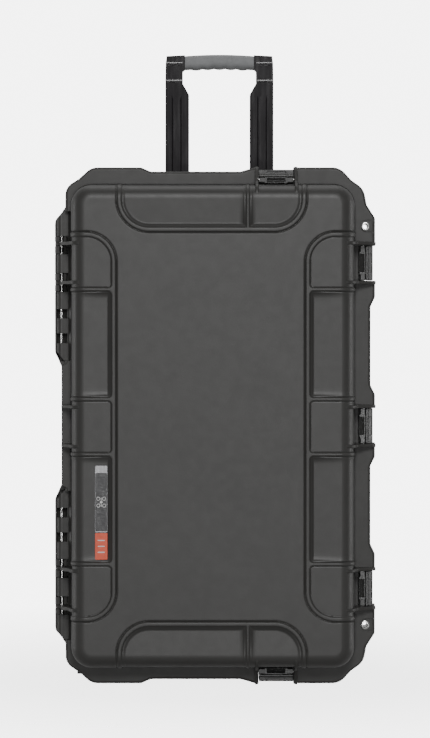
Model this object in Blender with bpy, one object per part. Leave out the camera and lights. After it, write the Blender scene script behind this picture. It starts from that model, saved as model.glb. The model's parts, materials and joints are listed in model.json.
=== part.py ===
"""Rolling hard case for a camera drone, standing upright on its wheel end with the pull handle drawn out.

+Z is up, the lid faces -Y, the hinges are at -X and the latches at +X. The origin is on the floor, in the
middle of the case's width and depth. Sizes below are in millimetres, and MM turns them into metres.
"""

import math

import bmesh
import bpy
from mathutils import Matrix, Vector

MM = 0.001

# ---------------------------------------------------------------- driving dimensions, mm
CASE_HEIGHT = 796.0
MID_Z = CASE_HEIGHT / 2
EDGE_X = 247.0  # the rims' outermost edge, on both long sides
FRONT_Y = -150.0
BACK_Y = 150.0
PARTING_Y = -72.0
SEAM = 0.2  # half of the gap between the lid and the base
GAP = 0.3  # between pieces that touch

BODY_X = -3.5  # middle of the moulded box, which sits off centre because of the hinges
BODY_HALF_X = 217.5
BODY_HALF_Z = 370.0
BODY_CORNER = 26.0
BODY_BACK_Y = 139.0
WALL = 4.0
DRAFT = 2.0  # the base walls lean in by this much at the back

LID_RIM_FRONT_Y = -92.0
BASE_RIM_BACK_Y = -50.0
LID_RIM_INSET = 0.8
LID_PANEL_DEPTH = 3.5
LID_CAVITY_Y = FRONT_Y + LID_PANEL_DEPTH + WALL

HINGE_X = -236.5
HINGE_Y = PARTING_Y
HINGE_PIN_R = 2.5
BARREL_R = 7.5
FIN_DISC_R = 10.2
HINGE_REACH = (100.0, 330.0)  # the lid's barrels, above and below the middle
WINDOWS = ((264.0, 292.0), (206.0, 235.0))
KNUCKLES = ((265.0, 276.5), (283.5, 291.3), (206.8, 216.5), (223.5, 234.2))

SIDE_LATCH_OFFSETS = (250.0, 0.0, -250.0)
END_LATCH_X = 94.0
PLATE_X = (-182.5, -163.5)
PLATE_Z = (196.0, 237.0, 339.0)  # the red tab's foot, where it meets the silver plate, and the plate's top
PLATE_THICKNESS = 1.2
FIN_OFFSET = 30.0
FIN_THICKNESS = 5.0
LATCH_HALF = 25.0
NOTCH_HALF = 27.0
PIVOT_IN = 20.0  # from the rims' outermost edge in to the latch pin
PIVOT_Y = -90.0
LATCH_PIN_R = 2.2

PADLOCK_X = 231.0
PADLOCK_OFFSET = 306.5
EYELET_BORE_R = 4.0
EYELET_R = 5.6

PLATEAU_HALF_X = 143.0
PLATEAU_HALF_Z = 298.0
PANEL_BEAD = 6.0
CROSS_BEADS = (209.5, 42.5)
CROSS_BEAD_HALF = 3.0
END_CROSS_BEAD_X = 54.0

HANDLE_X = 7.0  # the pull handle stands a little off the box's middle
LEG_OUT = 86.5
LEG_IN = 48.5
LEG_NECK_IN = 60.0
LEG_Y = (112.5, 130.5)
LEG_BOTTOM_Z = 645.0
LEG_SHOULDER_Z = 921.0
LEG_TOP_Z = 941.0
YOKE_TOP_Z = 983.0
GRIP_HALF = 55.0
GRIP_Z = (960.5, 986.0)

BAY_HALF = 91.0  # the pocket in the base's back that the pull handle slides in
BAY_FLOOR_Y = 108.0
BAY_BOTTOM_Z = 442.0
COVER_Y = (134.0, 138.5)
COVER_TOP_Z = 762.0
BUTTON_Z = 724.0

WHEEL_R = 45.0
WHEEL_HALF = 13.0
WHEEL_OFFSET = 190.0
WHEEL_Y = BACK_Y - WHEEL_R
WHEEL_Z = WHEEL_R + 1.5
WELL_HALF = 15.5
CHEEK = 9.0
WELL_Y = 52.0
WELL_TOP_Z = 100.0

CARRY_AXIS_Y = 5.0
CARRY_AXIS_OUT = 13.0
CARRY_HALF = 72.0

LID_ROUND = 22.0  # between the lid's walls and its face
LID_DRAFT = 1.5
BACK_ROUND = 14.0
BASE_NOTCH_OUT = -16.0
SEAL_GROOVE = (0.3, 5.7)  # how far outside the box the seal's groove starts and ends
SEAL_WIDTH = (0.8, 5.2)

# The latch lever's side view: (out from the rims' outermost edge, y), from its inner tab round to its top.
LEVER = (
    (-25.5, -92.5),
    (-25.5, -88.0),
    (-23.5, -84.5),
    (-20.0, -83.5),
    (-15.0, -82.5),
    (-12.0, -78.0),
    (-12.0, -46.0),
    (-15.2, -44.0),
    (-15.2, -39.0),
    (-8.0, -37.0),
    (-5.0, -40.0),
    (-5.0, -91.0),
    (-9.0, -94.5),
    (-20.0, -96.0),
)
LOCK_TRAVEL = 5.0
LOCK_Y = (-66.5, -49.5)
LOCK_HALF = 11.6
LOCK_OUT = (-8.2, -4.2)

LEG_CLEARANCE = 0.4
LEG_GROOVE = (62.0, 75.0)
LEG_GROOVE_DEPTH = 2.0
COVER_SCREW_Z = (500.0, 600.0, 690.0)
GUIDE_Z = 742.0
BUTTON_HALF = (16.0, 11.0)
BUTTON_Y = (128.0, 141.5)
LOCK_BAR_Y = (122.0, 127.7)

TYRE_IN = 34.0  # the tyre's inner radius
AXLE_R = 3.8
AXLE_BORE_R = 4.2
AXLE_HEAD_R = 8.0
BEARING_R = 11.0
BEARING_BORE_R = 4.1
BEARING_SEAT_R = 11.3
CARRY_PIN_R = 3.0
CARRY_BORE_R = 3.4
EAR = 10.0  # the carry handle ears' thickness
SLEEVE_R = (9.5, 11.0)

VALVE_Y = -12.0
VALVE_Z = 236.0
VALVE_SHANK_R = 7.5
VALVE_HEAD_R = 12.5
FOOT_X = 165.0  # from the box's middle
FOOT_Z = (250.0, 700.0)

FOAM_FRONT_Y = -70.5
POCKET_FLOOR_Y = 44.0
FOAM_INSET = 6.4
POCKET_ROUND = 8.0
DRONE_POCKET = (-186.0, 179.0, 292.0, 572.0)  # low x, high x, low z, high z
CONTROLLER_POCKET = (-186.0, 16.0, 604.0, 722.0)
CHARGER_POCKET = (48.0, 179.0, 604.0, 722.0)
PROPELLER_POCKET = (-124.0, 117.0, 74.0, 122.0)
BATTERY = (60.0, 92.0)
BATTERY_WALL = 34.0  # of foam between two batteries
BATTERY_Z = 160.0


# ---------------------------------------------------------------- materials
def material(name, colour, roughness, metallic=0.0):
    made = bpy.data.materials.new(name)
    made.use_nodes = True
    shader = made.node_tree.nodes["Principled BSDF"]
    shader.inputs["Base Color"].default_value = (*colour, 1.0)
    shader.inputs["Roughness"].default_value = roughness
    shader.inputs["Metallic"].default_value = metallic
    return made


def make_materials():
    return {
        "shell": material("shell_resin", (0.085, 0.085, 0.08), 0.5),
        "latch": material("latch_nylon", (0.03, 0.03, 0.03), 0.35),
        "gloss": material("handle_nylon", (0.02, 0.018, 0.02), 0.22),
        "grip": material("grip_rubber", (0.22, 0.23, 0.235), 0.6),
        "steel": material("stainless_steel", (0.7, 0.7, 0.7), 0.25, 1.0),
        "rubber": material("seal_rubber", (0.02, 0.02, 0.02), 0.7),
        "tyre": material("wheel_tyre", (0.03, 0.03, 0.03), 0.8),
        "foam": material("foam", (0.03, 0.03, 0.032), 0.95),
        "plate": material("plate_silver", (0.35, 0.35, 0.36), 0.4, 0.5),
        "plate_red": material("plate_red", (0.75, 0.12, 0.05), 0.4),
    }


# ---------------------------------------------------------------- shape helpers
def add_object(name, points, faces):
    """A mesh object from points in mm, with its faces pointing out."""
    mesh = bpy.data.meshes.new(name)
    shape = bmesh.new()
    made = [shape.verts.new(Vector(point) * MM) for point in points]
    for face in faces:
        shape.faces.new([made[i] for i in face])
    bmesh.ops.recalc_face_normals(shape, faces=shape.faces)
    shape.to_mesh(mesh)
    shape.free()
    obj = bpy.data.objects.new(name, mesh)
    bpy.context.scene.collection.objects.link(obj)
    return obj


def loft(name, rings, closed=False):
    """Joins rings of equally many points. Its ends are capped, unless it is closed on itself."""
    count = len(rings[0])
    points = [point for ring in rings for point in ring]
    faces = []
    spans = len(rings) if closed else len(rings) - 1
    for i in range(spans):
        a, b = i * count, (i + 1) % len(rings) * count
        faces += [(a + j, a + (j + 1) % count, b + (j + 1) % count, b + j) for j in range(count)]
    if not closed:
        faces += [tuple(range(count)), tuple(range(len(points) - count, len(points)))]
    return add_object(name, points, faces)


def along_y(outline, y):
    return [(x, y, z) for x, z in outline]


def slab(name, outline, y_low, y_high):
    """An outline in X and Z, thick along Y."""
    return loft(name, [along_y(outline, y_low), along_y(outline, y_high)])


def block(name, low, high):
    outline = [(low[0], low[2]), (high[0], low[2]), (high[0], high[2]), (low[0], high[2])]
    return slab(name, outline, low[1], high[1])


def circle(radius, count, start=0.0):
    turns = [start + 2 * math.pi * i / count for i in range(count)]
    return [(radius * math.cos(turn), radius * math.sin(turn)) for turn in turns]


def rod(name, centre, axis, low, high, radius, count=14):
    """A cylinder along an axis, 0 to 2 for X to Z. centre gives its place on the other two."""
    rings = []
    for along in (low, high):
        ring = []
        for a, b in circle(radius, count):
            point = [centre[0] + a, centre[1] + b]
            point.insert(axis, along)
            ring.append(tuple(point))
        rings.append(ring)
    return loft(name, rings)


def turned(name, centre, axis, profile, count=24):
    """A ring turned about an axis, from a closed profile of (along, radius) points."""
    rings = []
    for a, b in circle(1.0, count):
        ring = []
        for along, radius in profile:
            point = [centre[0] + a * radius, centre[1] + b * radius]
            point.insert(axis, along)
            ring.append(tuple(point))
        rings.append(ring)
    return loft(name, rings, closed=True)


def rounded(corners, steps=2):
    """An outline whose corners, each (x, z, radius), are rounded with arcs."""
    outline = []
    for i, (x, z, radius) in enumerate(corners):
        here = Vector((x, z))
        back = Vector(corners[i - 1][:2]) - here
        ahead = Vector(corners[(i + 1) % len(corners)][:2]) - here
        half = back.angle(ahead) / 2
        cut = min(radius / math.tan(half), 0.48 * back.length, 0.48 * ahead.length)
        start = here + back.normalized() * cut
        end = here + ahead.normalized() * cut
        middle = (back.normalized() + ahead.normalized()).normalized()
        centre = here + middle * (cut / math.cos(half))
        reach = (start - centre).length
        for k in range(steps + 1):
            spoke = (start - centre).slerp(end - centre, k / steps).normalized() * reach
            outline.append(tuple(centre + spoke))
    return outline


def rounded_box(half_x, half_z, radius, centre=(BODY_X, MID_Z), steps=4):
    x, z = centre
    return rounded(
        [
            (x + half_x, z - half_z, radius),
            (x + half_x, z + half_z, radius),
            (x - half_x, z + half_z, radius),
            (x - half_x, z - half_z, radius),
        ],
        steps,
    )


def body_outline(inset, steps=4):
    """The moulded box's outline, this far inside its widest one."""
    return rounded_box(BODY_HALF_X - inset, BODY_HALF_Z - inset, max(BODY_CORNER - inset, 3.0), steps=steps)


def body_loft(name, sections):
    return loft(name, [along_y(body_outline(inset), y) for y, inset in sections])


def combine(target, others, operation):
    """Joins others to the target, or cuts them from it, and removes them."""
    for other in others:
        modifier = target.modifiers.new(operation, "BOOLEAN")
        modifier.operation = operation
        modifier.object = other
        graph = bpy.context.evaluated_depsgraph_get()
        result = bpy.data.meshes.new_from_object(target.evaluated_get(graph))
        target.modifiers.clear()
        target.data = result
        bpy.data.objects.remove(other)
    return target


def union(target, *others):
    return combine(target, others, "UNION")


def cut(target, *others):
    return combine(target, others, "DIFFERENCE")


def finish(obj, paint, smooth_angle=35.0):
    obj.data.materials.clear()
    obj.data.materials.append(paint)
    obj.data.shade_smooth()
    obj.data.set_sharp_from_angle(angle=math.radians(smooth_angle))
    return obj


# ---------------------------------------------------------------- places on the four sides
class Side:
    """A side of the case. A point on it is (u along the side, out from its wall outwards, y)."""

    def __init__(self, name, wall, edge, middle):
        self.name, self.wall, self.edge, self.middle = name, wall, edge, middle

    def point(self, u, out, y):
        """out is measured from the rims' outermost edge, so it is negative inside it."""
        if self.name == "right":
            return (self.edge + out, y, self.middle + u)
        if self.name == "left":
            return (self.edge - out, y, self.middle + u)
        if self.name == "top":
            return (self.middle + u, y, self.edge + out)
        return (self.middle + u, y, self.edge - out)

    def prism(self, name, profile, u_low, u_high):
        """A profile of (out, y) points, thick along the side."""
        return loft(name, [[self.point(u, out, y) for out, y in profile] for u in (u_low, u_high)])

    def box(self, name, u, out, y):
        profile = [(out[0], y[0]), (out[1], y[0]), (out[1], y[1]), (out[0], y[1])]
        return self.prism(name, profile, *u)

    def pin(self, name, out, y, radius, u_low, u_high, count=16):
        return self.prism(name, [(out + a, y + b) for a, b in circle(radius, count)], u_low, u_high)


def side(name, middle):
    walls = {
        "right": (BODY_X + BODY_HALF_X, EDGE_X),
        "left": (BODY_X - BODY_HALF_X, -EDGE_X),
        "top": (MID_Z + BODY_HALF_Z, CASE_HEIGHT),
        "bottom": (MID_Z - BODY_HALF_Z, 0.0),
    }
    return Side(name, *walls[name], middle)


def latch_sides():
    """The five latches' places, by name."""
    found = {}
    for label, offset in zip(("upper", "middle", "lower"), SIDE_LATCH_OFFSETS):
        found["side_" + label] = side("right", MID_Z + offset)
    found["top"] = side("top", END_LATCH_X)
    found["bottom"] = side("bottom", END_LATCH_X)
    return found


def wall_out(place):
    """Where the moulded wall is, measured out from the rims' outermost edge."""
    return -abs(place.edge - place.wall)


# ---------------------------------------------------------------- rims, shared by lid and base
def rim_outline(inset, hinge_blocks):
    """The rims' outline: long bumpers at the ends, bumps at the latches and the base's hinge blocks."""
    right = EDGE_X - inset
    shallow = right - 7.0
    high = MID_Z - inset
    low = high - 6.5
    left = -231.0 + inset
    upper = [
        (right, 48.0, 8.0),
        (shallow, 62.0, 8.0),
        (shallow, 183.0, 8.0),
        (right, 198.0, 8.0),
        (right, 317.0, 12.0),
        (234.0 - inset, 340.0, 8.0),
        (226.0 - inset, 366.0, 25.0),
        (206.5, 381.0 - inset, 8.0),
        (188.0, high, 12.0),
        (62.0, high, 8.0),
        (39.0, low, 8.0),
        (-99.0, low, 8.0),
        (-114.0, high, 8.0),
        (-185.0, high, 14.0),
        (-209.0, 380.5 - inset, 8.0),
        (left, 358.0, 24.0),
    ]
    if hinge_blocks:
        upper += [(left, 336.0, 6.0), (-EDGE_X, 316.0, 14.0), (-EDGE_X, 113.0, 14.0), (-237.0, 91.0, 6.0)]
    else:
        upper += [(left, 96.0, 3.0), (-236.0, 91.0, 3.0)]
    lower = [(x, -z, radius) for x, z, radius in reversed(upper)]
    return rounded([(x, MID_Z + z, radius) for x, z, radius in upper + lower])


def notch_cutters(place, lid):
    """The gap in a rim that a latch lies in."""
    wall = wall_out(place)
    seal = wall + 7.0
    span = (-NOTCH_HALF, NOTCH_HALF)
    if lid:
        return [
            place.box("notch", span, (wall + 1.5, 30.0), (FRONT_Y - 10.0, -79.5)),
            place.box("notch", span, (seal, 30.0), (FRONT_Y - 10.0, -60.0)),
        ]
    return [place.box("notch", span, (BASE_NOTCH_OUT, 30.0), (-80.0, -40.0))]


def padlock_rods(y_low, y_high, radius, count=12):
    return [
        rod("hole", (PADLOCK_X, MID_Z + offset), 1, y_low, y_high, radius, count)
        for offset in (PADLOCK_OFFSET, -PADLOCK_OFFSET)
    ]


# ---------------------------------------------------------------- lid
def lid_blank():
    """The lid's box, with a large round from its walls to its face."""
    sections = [(PARTING_Y - SEAM, 0.0), (FRONT_Y + LID_ROUND, LID_DRAFT)]
    for step in range(1, 5):
        angle = math.pi / 2 * step / 4
        y = FRONT_Y + LID_ROUND * (1 - math.sin(angle))
        sections.append((y, LID_DRAFT + LID_ROUND * (1 - math.cos(angle))))
    return body_loft("lid_shell", sections)


def panel_cutters():
    """Pockets sunk into the lid's face beside the plateau, with beads left between them."""
    cutters = []
    deep, shallow = LID_PANEL_DEPTH, 1.5
    bead = PLATEAU_HALF_X + PANEL_BEAD
    spans = [
        (CROSS_BEADS[0] + CROSS_BEAD_HALF, PLATEAU_HALF_Z - PANEL_BEAD, shallow),
        (CROSS_BEADS[1] + CROSS_BEAD_HALF, CROSS_BEADS[0] - CROSS_BEAD_HALF, deep),
        (CROSS_BEAD_HALF - CROSS_BEADS[1], CROSS_BEADS[1] - CROSS_BEAD_HALF, shallow),
        (CROSS_BEAD_HALF - CROSS_BEADS[0], -CROSS_BEADS[1] - CROSS_BEAD_HALF, deep),
        (PANEL_BEAD - PLATEAU_HALF_Z, -CROSS_BEADS[0] - CROSS_BEAD_HALF, shallow),
    ]
    reach = BODY_HALF_X + 10.0
    for sign in (-1, 1):
        for low, high, depth in spans:
            x = sorted((BODY_X + sign * bead, BODY_X + sign * reach))
            size = (x[0], FRONT_Y - 5.0, MID_Z + low), (x[1], FRONT_Y + depth, MID_Z + high)
            cutters.append(block("panel", *size))
    for sign in (-1, 1):
        z = sorted((MID_Z + sign * (PLATEAU_HALF_Z + PANEL_BEAD), MID_Z + sign * (BODY_HALF_Z + 10.0)))
        for low, high in (
            (BODY_X - bead + 12.0, END_CROSS_BEAD_X - CROSS_BEAD_HALF),
            (END_CROSS_BEAD_X + CROSS_BEAD_HALF, BODY_X + bead - 12.0),
        ):
            cutters.append(block("panel", (low, FRONT_Y - 5.0, z[0]), (high, FRONT_Y + deep, z[1])))
    return cutters


def hinge_spans():
    """The stretches of the lid's barrels between the windows, above the middle."""
    spans = []
    top = HINGE_REACH[1]
    for low, high in WINDOWS:
        spans.append((high, top))
        top = low
    spans.append((HINGE_REACH[0], top))
    return spans


def both_ways(spans):
    return [(MID_Z + a, MID_Z + b) for a, b in spans] + [(MID_Z - b, MID_Z - a) for a, b in spans]


def lid_barrels():
    """Round barrels on the hinge line, each with a web to the lid's wall."""
    made = []
    web_end = BODY_X - BODY_HALF_X + 2.0
    for low, high in both_ways(hinge_spans()):
        barrel = rod("barrel", (HINGE_X, HINGE_Y), 2, low, high, BARREL_R, 16)
        profile = [(HINGE_X, HINGE_Y - BARREL_R), (HINGE_X, HINGE_Y - SEAM)]
        profile += [(web_end, HINGE_Y - SEAM), (web_end, HINGE_Y - BARREL_R - 4.0)]
        made.append(union(barrel, loft("web", [[(x, y, z) for x, y in profile] for z in (low, high)])))
    return made


def fin_profile(wall):
    """A rib's side view, from the rim's edge up to the round of the lid's face. wall is the lid's wall."""
    return [
        (0.0, PARTING_Y - SEAM),
        (0.0, -97.0),
        (-6.0, -103.0),
        (wall - 6.0, -139.0),
        (wall - 22.0, -149.5),
        (wall - 24.0, -140.0),
        (wall - 2.0, PARTING_Y - SEAM),
    ]


def lid_fins():
    """Ribs beside each latch, and their twins on the hinge side."""
    fins = []
    for place in latch_sides().values():
        profile = fin_profile(wall_out(place))
        for u in (-FIN_OFFSET, FIN_OFFSET):
            fins.append(place.prism("fin", profile, u - FIN_THICKNESS / 2, u + FIN_THICKNESS / 2))
    for offset in SIDE_LATCH_OFFSETS:
        place = side("left", MID_Z + offset)
        wall = wall_out(place)
        for u in (-FIN_OFFSET, FIN_OFFSET):
            if offset:
                fins.append(hinge_fin(place, wall, u))
            else:
                profile = [(out - 11.0 if out > -8.0 else out, y) for out, y in fin_profile(wall)]
                fins.append(place.prism("fin", profile, u - FIN_THICKNESS / 2, u + FIN_THICKNESS / 2))
    return fins


def hinge_fin(place, wall, u):
    """A rib that ends in a disc round the hinge pin."""
    pin_out = -(EDGE_X + HINGE_X)
    thick = (u - FIN_THICKNESS / 2, u + FIN_THICKNESS / 2)
    disc = place.pin("fin", pin_out, HINGE_Y, FIN_DISC_R, *thick, count=16)
    rib = [(pin_out, HINGE_Y - 9.0), (wall - 22.0, -149.5), (wall - 24.0, -140.0)]
    rib += [(wall - 2.0, HINGE_Y - SEAM), (pin_out, HINGE_Y - SEAM)]
    return union(disc, place.prism("rib", rib, *thick))


def ring_slab(name, inner, outer, y_low, y_high):
    """A closed ring between two outlines of equally many points."""
    corners = [(inner, y_low), (outer, y_low), (outer, y_high), (inner, y_high)]
    count = len(inner)
    points = [point for outline, y in corners for point in along_y(outline, y)]
    faces = []
    for i in range(4):
        a, b = i * count, (i + 1) % 4 * count
        faces += [(a + j, a + (j + 1) % count, b + (j + 1) % count, b + j) for j in range(count)]
    return add_object(name, points, faces)


def seal_ring(name, low, high, y_low, y_high):
    """A ring that follows the body's outline, from this far outside it to that far."""

    def outline(offset):
        return rounded_box(BODY_HALF_X + offset, BODY_HALF_Z + offset, BODY_CORNER + offset)

    return ring_slab(name, outline(low), outline(high), y_low, y_high)


def lid_cavity():
    face = LID_CAVITY_Y
    return body_loft("cavity", [(PARTING_Y + 4.0, WALL), (-128.0, WALL + 1.5), (-138.0, 10.0), (face, 21.0)])


def make_lid(paint):
    lid = lid_blank()
    rim = slab("rim", rim_outline(LID_RIM_INSET, False), LID_RIM_FRONT_Y, PARTING_Y - SEAM)
    union(lid, rim)
    cut(lid, *panel_cutters())
    wall_x = BODY_X - BODY_HALF_X
    for low, high in both_ways([HINGE_REACH]):
        cut(lid, block("step", (-260.0, -130.0, low), (wall_x - 0.5, -60.0, high)))
    union(lid, *lid_barrels())
    union(lid, *lid_fins())
    for place in latch_sides().values():
        cut(lid, *notch_cutters(place, True))
        for u in (-FIN_OFFSET, FIN_OFFSET):
            cut(lid, place.pin("hole", -PIVOT_IN, PIVOT_Y, LATCH_PIN_R + 0.3, u - 6.0, u + 6.0, 8))
    cut(lid, lid_cavity())
    cut(lid, seal_ring("groove", *SEAL_GROOVE, -76.4, -60.0))
    for low, high in both_ways([HINGE_REACH]):
        cut(lid, rod("bore", (HINGE_X, HINGE_Y), 2, low - 10.0, high + 10.0, HINGE_PIN_R + 0.4, 10))
    cut(lid, *padlock_rods(-120.0, -60.0, EYELET_R + 0.3))
    return finish(lid, paint["shell"])


def make_lid_trim(paint):
    """The seal, the lid's foam and the plain two-part name plate."""
    finish(seal_ring("lid_gasket", *SEAL_WIDTH, -76.0, PARTING_Y - 0.5), paint["rubber"])
    foam = [(-75.0, 8.0), (-124.0, 8.5), (-135.0, 14.0), (LID_CAVITY_Y + 0.8, 24.0)]
    finish(body_loft("lid_foam", foam), paint["foam"])
    floor = FRONT_Y + LID_PANEL_DEPTH - GAP
    (left, right), (low, split, high) = PLATE_X, PLATE_Z
    face = floor - PLATE_THICKNESS
    plate = block("name_plate", (left, face, split + GAP), (right, floor, high))
    finish(plate, paint["plate"])
    finish(block("name_plate_tab", (left, face, low), (right, floor, split - GAP)), paint["plate_red"])


# ---------------------------------------------------------------- base
def base_blank():
    start = BODY_BACK_Y - BACK_ROUND
    sections = [(PARTING_Y + SEAM, 0.0), (start, DRAFT)]
    for step in range(1, 4):
        angle = math.pi / 2 * step / 3
        sections.append((start + BACK_ROUND * math.sin(angle), DRAFT + BACK_ROUND * (1 - math.cos(angle))))
    return body_loft("base_shell", sections)


def wheel_sides():
    return {"left": -1, "right": 1}


def cheek_outline(y_low):
    """A wheel guard's side view in Y and Z: flat at the floor, then round behind the wheel."""
    radius = WHEEL_R - 3.0
    outline = [(y_low, WELL_TOP_Z), (y_low, 12.0), (y_low + 12.0, 0.0), (WHEEL_Y - 14.0, 0.0)]
    for degrees in (-75.0, -55.0, -35.0, -15.0, 5.0):
        a = math.radians(degrees)
        outline.append((WHEEL_Y + radius * math.cos(a), WHEEL_Z + radius * math.sin(a)))
    outline += [(BODY_BACK_Y - 1.0, WHEEL_Z + 24.0), (BODY_BACK_Y - 1.0, WELL_TOP_Z)]
    return outline


def wheel_guards():
    """The cheeks on both sides of each wheel."""
    guards = []
    for sign in wheel_sides().values():
        x = BODY_X + sign * WHEEL_OFFSET
        for low in (x - WELL_HALF - CHEEK, x + WELL_HALF):
            rings = [[(px, y, z) for y, z in cheek_outline(WELL_Y - 12.0)] for px in (low, low + CHEEK)]
            guards.append(loft("cheek", rings))
    return guards


def wells():
    made = []
    for sign in wheel_sides().values():
        x = BODY_X + sign * WHEEL_OFFSET
        size = (x - WELL_HALF, WELL_Y, -20.0), (x + WELL_HALF, BACK_Y + 20.0, WELL_TOP_Z)
        made.append(block("well", *size))
    return made


def base_cavity():
    """The inside of the base, less the humps over the wheel wells and the pull handle's bay."""
    floor = BODY_BACK_Y - WALL
    sections = [(PARTING_Y - 5.0, WALL), (floor - 12.0, WALL + DRAFT)]
    sections += [(floor - 4.0, WALL + 5.0), (floor, WALL + 12.0)]
    cavity = body_loft("cavity", sections)
    hump = WALL
    bay_x = BAY_HALF + hump
    low = (HANDLE_X - bay_x, BAY_FLOOR_Y - hump, BAY_BOTTOM_Z - hump)
    cut(cavity, block("hump", low, (HANDLE_X + bay_x, 200.0, 900.0)))
    for sign in wheel_sides().values():
        inner = BODY_X + sign * (WHEEL_OFFSET - WELL_HALF - CHEEK)
        x = sorted((inner, BODY_X + sign * 300.0))
        cut(cavity, block("hump", (x[0], WELL_Y - hump, -50.0), (x[1], 200.0, WELL_TOP_Z + hump)))
    return cavity


def carry_ears(place):
    """The two ears that a carry handle swings on."""
    wall = wall_out(place)
    ears = []
    start = CARRY_HALF + 2.0
    for low, high in ((-start - EAR, -start), (start, start + EAR)):
        profile = [(wall - 4.0, -12.0), (wall + 14.0, -4.0), (wall + 21.0, 1.0), (wall + 21.0, 11.0)]
        profile += [(wall + 14.0, 18.0), (wall - 4.0, 26.0)]
        ears.append(place.prism("ear", profile, low, high))
    return ears


def carry_places():
    return {"side": side("right", MID_Z), "end": side("top", BODY_X)}


def base_knuckles():
    """Short cradles that the hinge pins lie in, one on each side of the lid's discs and in each window."""
    made = []
    slot = HINGE_PIN_R + 0.4
    for low, high in both_ways(KNUCKLES):
        profile = [(HINGE_X - BARREL_R - 3.0, HINGE_Y + 14.0)]
        profile += [(HINGE_X - BARREL_R - 3.0, HINGE_Y - 2.0), (HINGE_X - BARREL_R, HINGE_Y - 6.0)]
        profile += [(HINGE_X - slot - 0.3, HINGE_Y - 6.5), (HINGE_X - slot, HINGE_Y)]
        profile += [(HINGE_X - slot * 0.7, HINGE_Y + slot * 0.75), (HINGE_X, HINGE_Y + slot)]
        profile += [(HINGE_X + slot * 0.7, HINGE_Y + slot * 0.75), (HINGE_X + slot, HINGE_Y)]
        profile += [(HINGE_X + slot + 0.3, HINGE_Y - 6.5), (HINGE_X + BARREL_R, HINGE_Y - 5.0)]
        profile += [(HINGE_X + BARREL_R, HINGE_Y + 14.0)]
        made.append(loft("knuckle", [[(x, y, z) for x, y in profile] for z in (low, high)]))
    return made


def make_base(paint):
    base = base_blank()
    union(base, slab("rim", rim_outline(0.0, True), PARTING_Y + SEAM, BASE_RIM_BACK_Y))
    union(base, *wheel_guards())
    for place in carry_places().values():
        union(base, *carry_ears(place))
    union(base, *back_feet())
    for low, high in both_ways([HINGE_REACH]):
        cut(base, rod("trough", (HINGE_X, HINGE_Y), 2, low - 0.7, high + 0.7, BARREL_R + 0.7, 16))
    for low, high in both_ways(WINDOWS):
        cut(base, block("window", (-260.0, -90.0, low), (HINGE_X + 10.8, HINGE_Y + 11.0, high)))
    union(base, *base_knuckles())
    for place in latch_sides().values():
        cut(base, *notch_cutters(place, False))
    cut(base, *wells())
    cut(base, base_cavity())
    bay = (HANDLE_X - BAY_HALF, BAY_FLOOR_Y, BAY_BOTTOM_Z), (HANDLE_X + BAY_HALF, 200.0, 900.0)
    cut(base, block("bay", *bay))
    for z in COVER_SCREW_Z:
        union(base, rod("boss", (HANDLE_X, z), 1, BAY_FLOOR_Y - 2.0, COVER_Y[0] - GAP, 6.0, 10))
    cut(base, *padlock_rods(-90.0, -30.0, EYELET_R + 0.3))
    cut(base, *base_holes())
    return finish(base, paint["shell"])


def back_feet():
    """Skids on the back, which carry the case when it lies down."""
    made = []
    for sign in (-1, 1):
        x = BODY_X + sign * FOOT_X
        for z in FOOT_Z:
            outline = rounded_box(14.0, 45.0, 10.0, centre=(x, z), steps=1)
            narrow = rounded_box(12.0, 43.0, 9.0, centre=(x, z), steps=1)
            sections = (outline, BODY_BACK_Y - 3.0), (outline, BACK_Y - 3.0), (narrow, BACK_Y - 1.0)
            made.append(loft("foot", [along_y(*section) for section in sections]))
    return made


def base_holes():
    """Bores for the wheel axles, the carry handles' pins and the pressure valve."""
    holes = []
    for sign in wheel_sides().values():
        x = BODY_X + sign * WHEEL_OFFSET
        reach = WELL_HALF + CHEEK + 20.0
        outer = sorted((x, x + sign * reach))
        holes.append(rod("hole", (WHEEL_Y, WHEEL_Z), 0, *outer, AXLE_BORE_R, 16))
        inner = sorted((x, x - sign * (WELL_HALF + CHEEK - 1.0)))
        holes.append(rod("hole", (WHEEL_Y, WHEEL_Z), 0, *inner, AXLE_BORE_R, 16))
    for place in carry_places().values():
        out = wall_out(place) + CARRY_AXIS_OUT
        for low, high in ((-CARRY_HALF - 10.0, -CARRY_HALF), (CARRY_HALF, CARRY_HALF + 10.0)):
            holes.append(place.pin("hole", out, CARRY_AXIS_Y, CARRY_BORE_R, low, high, 16))
    inside = BODY_X + BODY_HALF_X - 20.0
    holes.append(rod("hole", (VALVE_Y, VALVE_Z), 0, inside, EDGE_X, VALVE_SHANK_R + GAP, 20))
    return holes


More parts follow.
